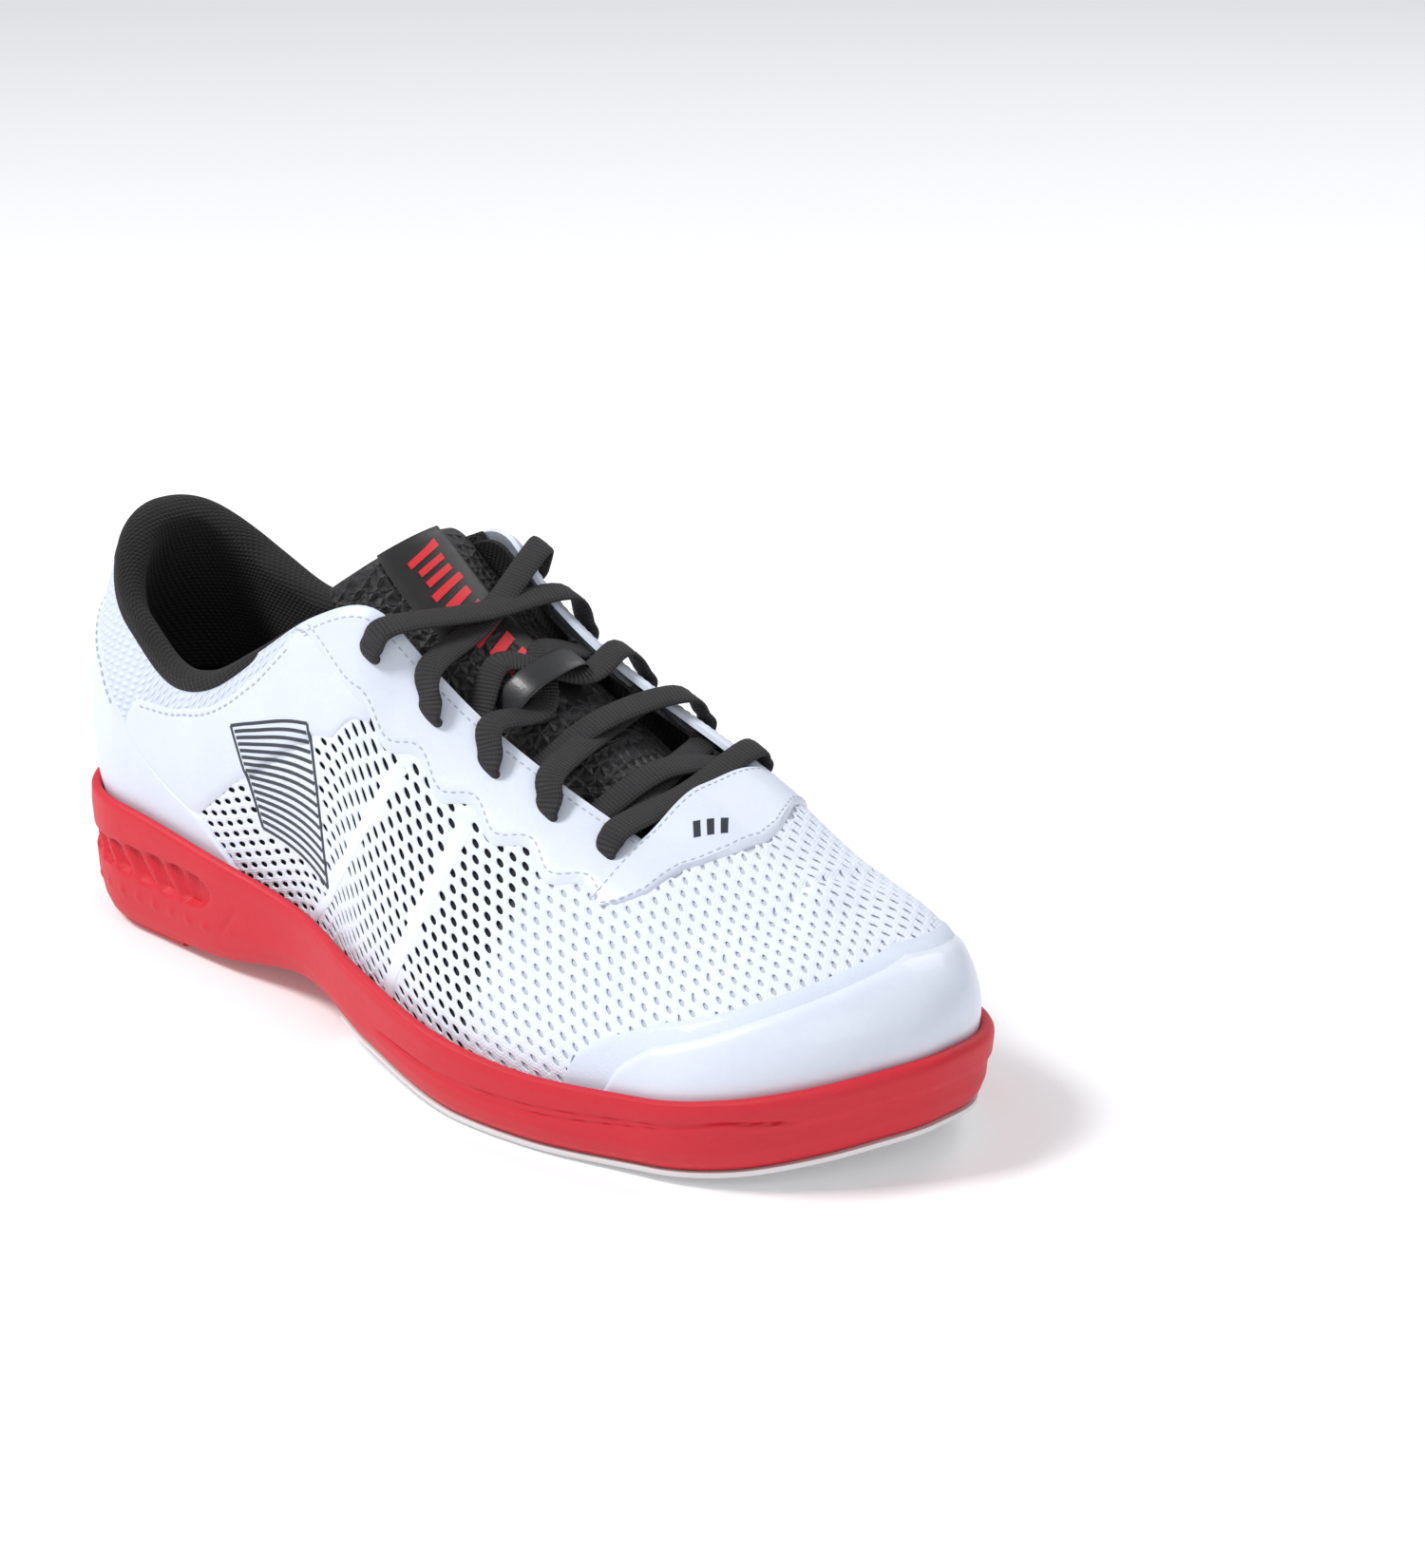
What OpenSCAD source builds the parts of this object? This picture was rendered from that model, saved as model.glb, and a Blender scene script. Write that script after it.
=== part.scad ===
// Bowling shoe for a right foot: knitted upper, moulded foam midsole, sliding front sole.
// X runs from heel to toe, -Y is the outer side, Z is up. The origin is on the floor under the
// middle of the heel. Every shell follows one shape: a loop round the foot (s, in millimetres
// from the back of the heel) and a cross-section that climbs from the midsole to the top (v).

/* [Size] */
// Length of the sole from heel to toe
sole_l = 297; // [285:1:310]
// Sideways shift of the toe towards the inner side
toe_shift = 12; // [8:0.5:15]

/* [Sole] */
// Depth of the tray in the midsole that takes the upper
tray_d = 5; // [4:0.5:6]
// Thickness of the midsole rim round the upper
rim_t = 3; // [2.5:0.1:3.5]
// Thickness of the white sliding sole under the front
slide_t = 1.8; // [1.4:0.1:2]
// Thickness of the heel pad on the floor
heel_pad_t = 1.8; // [1.4:0.1:2]
// Thickness of the stitched insole board
board_t = 1.6; // [1.2:0.1:2]
// Thickness of the removable footbed
footbed_t = 3.5; // [2.5:0.5:4.5]
// Width of the shank in the waist of the sole
shank_w = 14; // [10:1:16]

/* [Upper] */
// Thickness of the outer mesh
mesh_t = 1.3; // [1:0.1:1.4]
// Thickness of the films and panels bonded on the mesh
film_t = 0.8; // [0.6:0.1:1]
// Thickness of the stiffeners and backing inside the mesh
stiffener_t = 1.1; // [0.8:0.1:1.2]
// Thickness of the lining
lining_t = 1; // [0.8:0.1:1.2]
// Gap between neighbouring layers
layer_gap = 0.3; // [0.25:0.05:0.35]
// Thickness of the padding in the collar
collar_pad = 6; // [4:0.5:7]

/* [Lacing] */
// Distance along the shoe between eyelet rows
row_pitch = 18; // [17:0.5:19]
// Bore of each eyelet
eyelet_bore = 5; // [4.6:0.1:5.4]
// Width of the flat lace
lace_w = 7; // [6:0.5:8]
// Thickness of the flat lace
lace_t = 2; // [1.8:0.1:2.2]

/* [Joints] */
// Distance from the middle of the heel to the flex line of the sole
flex_x = 176; // [174:1:178]
// Height of the flex axis
flex_z = 21.8; // [21.5:0.1:22.5]
// Gap between the two halves of the sole at the flex line
flex_gap = 0.3; // [0.2:0.05:0.5]
// Distance from the middle of the heel to the bend line of the tongue
tongue_bend_x = 89; // [86:1:92]

/* [Hidden] */

// Colours
white = [0.93, 0.94, 0.98];
soft_white = [0.88, 0.9, 0.95];
red = [0.87, 0.2, 0.26];
charcoal = [0.13, 0.12, 0.13];
steel = [0.62, 0.64, 0.67];
foam_yellow = [0.9, 0.85, 0.6];
board_tan = [0.8, 0.68, 0.5];

// The loop: an arc round the heel, a straight run, and an arc round the toe
u = sole_l / 297;
x_toe = 209 * u;
s_heel = 55 * u;
s_toe = s_heel + x_toe;
s_end = s_toe + 82 * u;

// Sole outline and heights: [s, outer half width, inner half width, rim height, base height]
sole_rows = u * [
    [0, 36, 36, 38.5, 2], [27, 35, 35.5, 38.5, 2], [55, 34.5, 34.5, 38.5, 2], [92, 36.5, 33, 34.5, 3],
    [129, 39.9, 29.6, 30, 9], [166, 54, 32.5, 27, 6], [202, 64, 39, 23, 2.2],
    [232, 64, 41.3, 21, 2], [264, 56.5, 39.5, 22, 3.2], [285, 51.5, 43, 24.5, 5],
    [305, 48, 47.5, 27, 7.5], [326, 47.5, 50.5, 29.5, 10], [346, 50, 50, 31, 11.5]];

// Upper: [s, top line height outside and inside, its radius, bulge, rise, lean out and down,
// ridge height]
upper_rows = u * [
    [0, 113, 113, 19.5, 6, 16, 13, 26, 113], [27, 108, 110, 22, 5, 16, 11, 26, 113],
    [55, 92, 97, 27, 3, 18, 7, 20, 113], [75, 80.5, 88, 30, 2, 18, 4, 16, 114],
    [92, 82.5, 90, 31, 1, 18, 4, 18, 116], [110, 94, 102, 30, 1, 24, 6, 22, 120],
    [130, 108, 117, 28, 1, 28, 9, 24, 123], [146, 112.5, 121.5, 24, 1, 27, 13, 20, 121],
    [160, 100.5, 109, 21.5, 1, 26, 14, 15, 110], [176, 88.5, 97, 21, 2, 24, 15, 12, 98.5],
    [195, 78, 86.5, 21, 2, 22, 16, 9, 87.5], [215, 69.5, 77.5, 21, 2, 19, 17, 7, 78],
    [232, 64, 70.5, 20.5, 2, 17, 17, 5.5, 72], [264, 55, 57.5, 19, 3, 17, 18, 5, 60],
    [305, 54.5, 55.5, 18, 4, 17, 18, 4, 60], [346, 54, 54, 18, 5, 17, 18, 4, 60]];

// Sideways offset of the lacing line from the middle of the sole: [s, offset]
ridge_rows = u * [[0, 0], [110, 0], [150, 1], [222, 7.5], [264, 6], [346, 5]];

wall_inset = rim_t + 2.4;
mesh_in = -mesh_t;
stiffener_out = mesh_in - layer_gap;
stiffener_in = stiffener_out - stiffener_t;
lining_out = stiffener_in - layer_gap;
lining_in = lining_out - lining_t;
film_in = layer_gap;
film_out = film_in + film_t;

function clamp(a, low, high) = min(max(a, low), high);
function smooth(f) = f * f * (3 - 2 * f);
function mix(a, b, f) = a * (1 - f) + b * f;

// Smooth curve through table rows, keyed by the first column
function row_slope(t, i) = i == 0 || i == len(t) - 1 ? 0 * t[0]
    : (t[i + 1] - t[i - 1]) / (t[i + 1][0] - t[i - 1][0]);
function row_at(t, s) =
    let (c = clamp(s, t[0][0], t[len(t) - 1][0]))
    let (i = max([for (k = [0 : len(t) - 2]) if (t[k][0] <= c) k]))
    let (h = t[i + 1][0] - t[i][0], f = (c - t[i][0]) / h)
    t[i] * (1 - smooth(f)) + t[i + 1] * smooth(f)
    + row_slope(t, i) * h * f * (1 - f) * (1 - f) - row_slope(t, i + 1) * h * f * f * (1 - f);

// Middle of the sole at s, and the direction from it to the edge
function spine(s) =
    let (x = clamp(s - s_heel, 0, x_toe))
    [x, toe_shift * u * smooth(x / x_toe)];
function out_angle(s) = s < s_heel ? 180 - 90 * s / s_heel
    : s > s_toe ? 90 - 90 * (s - s_toe) / (s_end - s_toe) : 90;
function out_dir(s, side) = [cos(out_angle(s)), side * sin(out_angle(s))];
function on_sole(s, side, inset, z) =
    let (row = row_at(sole_rows, s), r = (side < 0 ? row[1] : row[2]) - inset)
    let (c = spine(s), d = out_dir(s, side))
    [c.x + d.x * r, c.y + d.y * r, z];
function rim_z(s) = row_at(sole_rows, s)[3];
function base_z(s) = max(row_at(sole_rows, s)[4], 2 * u);
function s_at(x) = s_heel + x;
function lacing_y(x) = spine(s_at(x)).y + row_at(ridge_rows, s_at(x))[1];

// Cubic curve and its direction
function bezier(p, t) = p[0] * pow(1 - t, 3) + 3 * p[1] * t * pow(1 - t, 2)
    + 3 * p[2] * t * t * (1 - t) + p[3] * t * t * t;
function bezier_slope(p, t) = (p[1] - p[0]) * pow(1 - t, 2)
    + 2 * (p[2] - p[1]) * t * (1 - t) + (p[3] - p[2]) * t * t;

// Cross-section of the upper: the wall from midsole to top line, and the roof to the ridge
function section(s, side) =
    let (a = row_at(sole_rows, s), b = row_at(upper_rows, s))
    let (foot = [(side < 0 ? a[1] : a[2]) - wall_inset, a[3] - tray_d + 0.5])
    let (edge = [b[3], side < 0 ? b[1] : b[2]], lean = [b[6], -b[7]])
    [spine(s), out_dir(s, side), row_at(ridge_rows, s)[1],
        [foot, foot + [b[4], b[5]], edge + lean, edge],
        [edge, edge - 0.45 * lean, [0.4 * b[3], b[8]], [0, b[8]]]];
// Point on a cross-section: v climbs 0..1 up the wall and 1..2 over the roof, d is outwards
function on_section(sec, v, d = 0, lift = 0) =
    let (p = v <= 1 ? sec[3] : sec[4], t = v <= 1 ? v : v - 1)
    let (q = bezier(p, t), g = bezier_slope(p, t), n = [g.y, -g.x] / norm(g))
    let (r = q.x + d * n.x)
    [sec[0].x + sec[1].x * r, sec[0].y + sec[1].y * r + sec[2] * smooth(min(v, 1)),
        q.y + d * n.y + lift];
function on_upper(s, side, v, d = 0, lift = 0) = on_section(section(s, side), v, d, lift);

function steps(a, b, count) = [for (i = [0 : count]) a + (b - a) * i / count];
function join(a, b) = concat(a, [for (i = [1 : len(b) - 1]) b[i]]);
s_flex = s_at(flex_x * u);

// Closed shell between two grids of points, outer and inner, each [side][i][j].
// shared(i, j) is true where both sides meet, kept(i, j) where the shell has a cell,
// and pole is the column whose last point closes the toe.
function corner(n, m, layer, side, i, j, shared, pole) =
    let (k = j == m && i > pole ? pole : i)
    let (e = shared(k, j) ? 0 : side)
    ((layer * 2 + e) * (n + 1) + k) * (m + 1) + j;
function triangle(a, b, c, flip) = a == b || b == c || a == c ? []
    : [flip ? [a, c, b] : [a, b, c]];
function quad(a, b, c, d, flip) = concat(triangle(a, b, c, flip), triangle(a, c, d, flip));
function flat(lists) = [for (l = lists) for (e = l) e];
module shell(outer, inner, kept, shared, pole = 1000) {
    sides = len(outer);
    n = len(outer[0]) - 1;
    m = len(outer[0][0]) - 1;
    points = flat([for (grid = [outer, inner]) flat([for (e = [0, 1])
        flat([for (i = [0 : n]) grid[min(e, sides - 1)][i]])])]);
    function at(layer, e, i, j) = corner(n, m, layer, e, i, j, shared, pole);
    function cell(i, j) = i >= 0 && j >= 0 && i < n && j < m && kept(i, j);
    function wall(e, i1, j1, i2, j2) = sides > 1 && shared(i1, j1) && shared(i2, j2) ? []
        : quad(at(0, e, i1, j1), at(1, e, i1, j1), at(1, e, i2, j2), at(0, e, i2, j2), e == 1);
    faces = [for (e = [0 : sides - 1]) for (i = [0 : n - 1]) for (j = [0 : m - 1])
        if (cell(i, j)) for (f = concat(
            quad(at(0, e, i, j), at(0, e, i, j + 1), at(0, e, i + 1, j + 1),
                at(0, e, i + 1, j), e == 1),
            quad(at(1, e, i, j), at(1, e, i + 1, j), at(1, e, i + 1, j + 1),
                at(1, e, i, j + 1), e == 1),
            cell(i, j - 1) ? [] : wall(e, i + 1, j, i, j),
            cell(i, j + 1) ? [] : wall(e, i, j + 1, i + 1, j + 1),
            cell(i - 1, j) ? [] : wall(e, i, j, i, j + 1),
            cell(i + 1, j) ? [] : wall(e, i + 1, j + 1, i + 1, j))) f];
    polyhedron(points, faces);
}

// Patch of the upper on one side. spot(f, g) gives [s, v] for f along and g up, 0..1
module patch(side, count, spot, d_out, d_in) {
    grid = [for (d = [d_out, d_in]) [[for (f = steps(0, 1, count[0]))
        [for (g = steps(0, 1, count[1])) on_upper(spot(f, g)[0], side, spot(f, g)[1], d)]]]];
    mirrored = side > 0;
    if (mirrored) shell([for (k = grid[0]) reverse_rows(k)], [for (k = grid[1]) reverse_rows(k)],
        function (i, j) true, function (i, j) false);
    else shell(grid[0], grid[1], function (i, j) true, function (i, j) false);
}
function reverse_rows(rows) = [for (i = [len(rows) - 1 : -1 : 0]) rows[i]];

// Patch that wraps round the heel (at_heel) or the toe, on both sides
module wrap(columns, count, spot, d_out, d_in, at_heel) {
    grid = [for (d = [d_out, d_in]) [for (side = [-1, 1]) [for (f = steps(0, 1, columns))
        [for (g = steps(0, 1, count)) on_upper(spot(f, g)[0], side, spot(f, g)[1], d)]]]];
    last = at_heel ? 0 : columns;
    shell(grid[0], grid[1], function (i, j) true, function (i, j) i == last);
}

// Columns of the loop, shared by every long piece so that their facets stay parallel
throat_end = s_at(171 * u);
s_columns = join(join(join(join(steps(0, s_heel, 6), steps(s_heel, throat_end, 18)),
    [throat_end, s_flex]), steps(s_flex, s_toe, 3)), steps(s_toe, s_end, 9));
function columns(a, b) = [for (s = s_columns) if (s >= a - 0.01 && s <= b + 0.01) s];
rear_columns = concat(columns(0, s_flex - 1), [s_flex - flex_gap / 2]);
front_columns = concat([s_flex + flex_gap / 2], columns(s_flex + 1, s_end));
quarter_start = s_heel + (throat_end - s_heel) * 7 / 18;
function pick(stations, f) = stations[round(f * (len(stations) - 1))];

// Solid through closed rings, each the outer half outline then the inner half reversed.
// At a pinched end the two halves meet.
module loft(rings, pinch_first, pinch_last) {
    n = len(rings) - 1;
    k = len(rings[0]);
    function at(i, j) = let (p = j % k)
        i * k + ((i == 0 && pinch_first || i == n && pinch_last) && p >= k / 2 ? k - 1 - p : p);
    sides = [for (i = [0 : n - 1]) for (j = [0 : k - 1])
        for (f = quad(at(i, j), at(i, j + 1), at(i + 1, j + 1), at(i + 1, j), false)) f];
    first = pinch_first ? [] : [[for (j = [k - 1 : -1 : 0]) at(0, j)]];
    last = pinch_last ? [] : [[for (j = [0 : k - 1]) at(n, j)]];
    polyhedron(flat(rings), concat(sides, first, last));
}
// Ring across the sole at s from one half profile of [inset, height] points
function sole_ring(s, half) = concat([for (p = half) on_sole(s, -1, p[0], p[1])],
    [for (i = [len(half) - 1 : -1 : 0]) on_sole(s, 1, half[i][0], half[i][1])]);

// Half profile of the midsole: underside, bulging wall, rim, tray floor
function tray_z(s) = rim_z(s) - tray_d * u;
function midsole_half(s) =
    let (low = base_z(s), top = rim_z(s), h = top - low)
    [[5, low], [2.2, low + 0.12 * h], [1, low + 0.3 * h], [0.6, low + 0.55 * h],
        [0, top - 4], [0.2, top - 1.2], [1, top], [rim_t - 0.6, top], [rim_t, top - 0.8],
        [rim_t + 0.4, tray_z(s)]];

// Straight plate under the insole board in the waist; grow makes its pocket
module waist_plate(grow) {
    x1 = 30 * u;
    x2 = 92 * u;
    z1 = tray_z(s_at(x1)) - 2.2;
    z2 = tray_z(s_at(x2)) - 2.2;
    tilt = atan2(z1 - z2, x2 - x1);
    translate([x1, 1, z1]) rotate([0, tilt, 0]) translate([-grow, -shank_w / 2 - grow, -grow])
        cube([norm([x2 - x1, z2 - z1]) + 2 * grow, shank_w + 2 * grow, 1.2 + 6 * grow]);
}
module shank() { color(steel) waist_plate(0); }
module midsole(stations, at_heel) {
    loft([for (s = stations) sole_ring(s, midsole_half(s))], at_heel, !at_heel);
}
module midsole_rear() {
    color(red) difference() {
        midsole(rear_columns, true);
        waist_plate(layer_gap);
    }
}
module midsole_front() { color(red) midsole(front_columns, false); }

// Thin plate under the midsole, its underside on the floor at the heel and the ball
plate_gap = 2 * u - slide_t;
module sole_plate(stations, thick, first, last) {
    loft([for (s = stations) let (z = base_z(s) - plate_gap)
        sole_ring(s, [[6.5, z - thick], [5.5, z - 0.7 * thick], [5.2, z]])], first, last);
}
module heel_pad() { color(red) sole_plate(columns(0, 80 * u), heel_pad_t, true, false); }
module slide_sole_rear() {
    color(white) sole_plate([for (s = rear_columns) if (s > 150 * u) s], slide_t, false, false);
}
module slide_sole_front() { color(white) sole_plate(front_columns, slide_t, false, true); }

// Flat layers inside the upper, resting on the tray floor
inner_inset = wall_inset - lining_in + 0.8;
module insole_board() {
    color(board_tan) loft([for (s = s_columns) let (z = tray_z(s) + layer_gap)
        sole_ring(s, [[inner_inset, z], [inner_inset, z + board_t]])], true, true);
}
module footbed() {
    color(charcoal) loft([for (s = s_columns) let (z = tray_z(s) + board_t + 2 * layer_gap + 0.1)
        sole_ring(s, [[inner_inset, z], [inner_inset + 1.8, z + footbed_t + 2],
            [inner_inset + 3, z + footbed_t + 2], [inner_inset + 6, z + footbed_t]])], true, true);
}

// Long layers that run round the toe: low rows on the walls, high rows over the roof
wall_top = 0.7;
wall_rows = concat(steps(0, wall_top, 8), [0.8, 0.9, 1, 1.25, 1.5, 1.75, 2]);
module toe_side(stations, d_out, d_in) {
    n = len(stations) - 1;
    m = len(wall_rows) - 1;
    roof = len([for (s = stations) if (s < throat_end - 0.01) s]);
    pole = len([for (s = stations) if (s < s_toe - 0.01) s]);
    grid = [for (d = [d_out, d_in]) [for (side = [-1, 1]) [for (s = stations)
        let (sec = section(s, side)) [for (v = wall_rows) on_section(sec, v, d)]]]];
    shell(grid[0], grid[1], function (i, j) j < 8 || i >= roof,
        function (i, j) i == n || j == m, pole);
}
front_layer = [quarter_start + 0.3];
module vamp_mesh() {
    color(soft_white) toe_side(concat(front_layer, columns(quarter_start + 1, s_end)), 0, mesh_in);
}
module vamp_lining() {
    color(charcoal)
        toe_side(concat(front_layer, columns(quarter_start + 1, s_end)), lining_out, lining_in);
}
module vamp_backing() {
    stations = columns(quarter_start + 1, 200 * u);
    color(charcoal) patch(-1, [len(stations) - 1, 8],
        function (f, g) [pick(stations, f), mix(0.03, 0.66, g)],
        stiffener_out, stiffener_in);
}
module toe_puff() {
    stations = columns(290 * u, s_end);
    color(board_tan) wrap(len(stations) - 1, 8,
        function (f, g) [pick(stations, f), mix(0.02, 0.8, g)],
        stiffener_out, stiffener_in, false);
}

// Rear of the upper
rear = columns(0, quarter_start);
module rear_layer(low, high, rows, d_out, d_in) {
    wrap(len(rear) - 1, rows, function (f, g) [pick(rear, f), mix(low, high, g)],
        d_out, d_in, true);
}
module collar_panel() { color(soft_white) rear_layer(0, 1, 9, 0, mesh_in); }
module rear_lining() { color(charcoal) rear_layer(0, 0.54, 7, lining_out, lining_in); }
overlay = columns(0, 93 * u);
module heel_counter() {
    color(board_tan) wrap(len(overlay) - 1, 7, function (f, g)
        [pick(overlay, f), g * mix(0.55, 0.35, f)], stiffener_out, stiffener_in, true);
}
function overlay_top(s) = mix(0.6, 0.12, smooth(clamp(s / (93 * u), 0, 1)));
module heel_overlay() {
    color(white) wrap(len(overlay) - 1, 8, function (f, g)
        [pick(overlay, f), g * overlay_top(pick(overlay, f))], film_out, film_in, true);
}
// Padding and lining that roll over the collar: rows of [v, depth, lift]
module roll(outer_rows, inner_rows) {
    rows = [outer_rows, inner_rows];
    grid = [for (layer = rows) [for (side = [-1, 1]) [for (s = rear)
        let (sec = section(s, side)) [for (r = layer) on_section(sec, r[0], r[1], r[2])]]]];
    shell(grid[0], grid[1], function (i, j) true, function (i, j) i == 0);
}
pad_out = mesh_in - layer_gap;
pad_in = pad_out - collar_pad;
lined_in = pad_in - layer_gap - lining_t;
module collar_foam() {
    color(foam_yellow) roll(
        [[0.6, pad_out, 0], [0.7, pad_out, 0], [0.8, pad_out, 0], [0.9, pad_out, 0],
            [1, pad_out, 0], [1, pad_out - 1, 1.5]],
        [[0.6, pad_out - 2.2, 0], [0.7, pad_in + 1, 0], [0.8, pad_in, 0], [0.9, pad_in, 0],
            [1, pad_in, 0], [1, pad_in + 1, 1.5]]);
}
module collar_lining() {
    color(charcoal) roll(
        [[0.6, pad_in + 3.2, 0], [0.7, pad_in - layer_gap, 0], [0.8, pad_in - layer_gap, 0],
            [0.9, pad_in - layer_gap, 0], [1, pad_in - layer_gap, 0], [1, pad_in + 0.2, 1.8],
            [1, pad_in + 1.6, 2.8], [1, pad_in / 2, 3.2], [1, -1, 2.6], [1, layer_gap, 1],
            [0.96, layer_gap, 0]],
        [[0.58, pad_in + 2.2, 0], [0.7, lined_in, 0], [0.8, lined_in, 0], [0.9, lined_in, 0],
            [1, lined_in, 0], [1, lined_in, 1.8], [1, pad_in + 0.8, 4.2], [1, pad_in / 2, 5],
            [1, -0.6, 4], [1, 0.9 + lining_t, 2], [0.96, 0.7 + lining_t, 0]]);
}

// Toe cap and the film that borders it
cap = columns(s_flex + 20, s_end);
function cap_top(s) = mix(0.3, 0.84, smooth(clamp((s - cap[0]) / (s_end - cap[0]), 0, 1)));
module toe_cap() {
    color(white) wrap(len(cap) - 1, 8, function (f, g)
        [pick(cap, f), g * cap_top(pick(cap, f))], film_out, film_in, false);
}
module toe_cap_film() {
    color(soft_white) wrap(len(cap) - 1, 2, function (f, g)
        [pick(cap, f), cap_top(pick(cap, f)) + mix(0.02, 0.13, g)], film_out, film_in, false);
}

// Eyelets: s and v of each one, counted from the front
eyelet_v = 0.86;
function eyelet_s(row) = s_at(167 * u) - row * row_pitch * u;
module at_eyelet(row, side) {
    low = on_upper(eyelet_s(row), side, eyelet_v, 0);
    out = on_upper(eyelet_s(row), side, eyelet_v, 1) - low;
    translate(low) rotate([0, acos(out.z / norm(out)), atan2(out.y, out.x)]) children();
}
module eyelet_bores(side) {
    for (row = [0 : 4]) at_eyelet(row, side)
        cylinder(h = 12, d = eyelet_bore, center = true, $fn = 32);
}
stay_start = quarter_start + 2.5;
stay_end = throat_end - 0.5;
function scallop(s) = 0.62 + 0.035 * cos(360 * (s - eyelet_s(0)) / (row_pitch * u));
function stay_spot(f, g) = let (s = mix(stay_start, stay_end, f)) [s, mix(scallop(s), 1, g)];
module eyestay(side) {
    color(white) difference() {
        patch(side, [22, 5], function (f, g) stay_spot(f, g), film_out, film_in);
        eyelet_bores(side);
    }
}
module eyestay_outer() { eyestay(-1); }
module eyestay_inner() { eyestay(1); }
module eyestay_backing(side) {
    color(soft_white) difference() {
        patch(side, [14, 3], function (f, g) [mix(stay_start, stay_end, f),
            mix(wall_top + 0.02, 1, g)], 0, mesh_in);
        eyelet_bores(side);
    }
}
module eyestay_backing_outer() { eyestay_backing(-1); }
module eyestay_backing_inner() { eyestay_backing(1); }
module throat_overlay() {
    stations = concat([throat_end + 0.3], columns(throat_end + 1, throat_end + 20 * u));
    rows = [for (v = wall_rows) if (v > wall_top - 0.1) v];
    grid = [for (d = [film_out, film_in]) [for (side = [-1, 1])
        [for (s = stations) [for (v = rows) on_upper(s, side, v, d)]]]];
    color(white) shell(grid[0], grid[1], function (i, j) true,
        function (i, j) j == len(rows) - 1);
}

// Films and panels on the quarters
film2_in = film_out + layer_gap;
film2_out = film2_in + 0.5;
overlay_end = overlay[len(overlay) - 1];
module quarter_film_outer() {
    stations = columns(overlay_end + 1, quarter_start);
    color(white) patch(-1, [len(stations) - 1, 8], function (f, g)
        [pick(stations, f), mix(mix(0.25, 0.42, f), 0.9, g)], film_out, film_in);
}
module quarter_panel_inner() {
    stations = columns(overlay_end + 1, throat_end - 1);
    color(white) patch(1, [len(stations) - 1, 8], function (f, g)
        [pick(stations, f), mix(0.04, 0.57, g)], film_out, film_in);
}
module quarter_ribs_inner() {
    for (k = [0 : 2]) color(soft_white) patch(1, [2, 8], function (f, g)
        [(125 + 25 * k + 7 * f + 16 * g) * u, mix(0.07, 0.53, g)], film2_out, film2_in);
}
module side_emblem() {
    for (k = [0 : 5]) color(charcoal) patch(-1, [5, 1], function (f, g)
        [mix(103, 119, f) * u, mix(0.5, 0.515, g) + 0.035 * k + 0.06 * f], film2_out, film2_in);
}
module throat_emblem() {
    s = throat_end + 8 * u;
    p = on_upper(s, -1, 1.7, film2_in);
    out = on_upper(s, -1, 1.7, film2_out) - p;
    color(charcoal) translate(p) rotate([0, acos(out.z / norm(out)), atan2(out.y, out.x)])
        translate([0, 0, 0.5]) cylinder(h = 0.5, d = 6, $fn = 4);
}

// Tongue: [station, x, height, half width], from the stitched end to the free end
tongue_rows = u * [
    [0, 176, 61.5, 14], [1, 167, 66.5, 18], [2, 149, 76, 21], [3, 131, 86, 23],
    [4, 113, 97, 24], [5, 95, 110.5, 24.5], [6, 84, 120.5, 24], [6.3, 80, 124.5, 22.5]];
tongue_arch = 7.5 * u;
tongue_roll = 0.16;
function tongue_spot(t, g, d) =
    let (r = row_at(tongue_rows, t * u), ahead = row_at(tongue_rows, t * u + 0.05))
    let (back = row_at(tongue_rows, t * u - 0.05), along = [ahead[1] - back[1], ahead[2] - back[2]])
    let (out = [along.y, -along.x] / norm(along), h = d - tongue_arch * g * g)
    [r[1] + out.x * h, lacing_y(r[1]) + g * r[3], r[2] + out.y * h + tongue_roll * g * r[3]];
bend_t = 5 + (95 * u - tongue_bend_x) / (11 * u);
module tongue_layer(t1, t2, along, width, d_out, d_in) {
    grid = [for (d = [d_out, d_in]) [[for (t = steps(t2, t1, along))
        [for (g = steps(-width, width, 8)) tongue_spot(t, g, d)]]]];
    shell(grid[0], grid[1], function (i, j) true, function (i, j) false);
}
cover_t = 1.2;
pad_high = -cover_t - 0.5;
pad_low = -5.5;
module tongue_cover() {
    color(charcoal) tongue_layer(0, bend_t - 0.01, 10, 1, 0, -cover_t);
}
module tongue_foam() {
    color(foam_yellow) tongue_layer(0.2, bend_t - 0.01, 10, 0.9, pad_high, pad_low);
}
module tongue_lining() {
    color(charcoal) tongue_layer(0.2, bend_t - 0.01, 10, 0.95, pad_low - layer_gap, pad_low - 1.2);
}
module tongue_flap() {
    color(charcoal) tongue_layer(bend_t + 0.03, 6.3, 4, 1, 0, -cover_t);
}
module tongue_flap_pad() {
    color(foam_yellow) tongue_layer(bend_t + 0.03, 6.25, 4, 0.9, pad_high, pad_low);
}
module tongue_label() {
    color(charcoal) tongue_layer(bend_t + 0.05, 6.2, 4, 0.45, 0.8, layer_gap);
}

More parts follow.
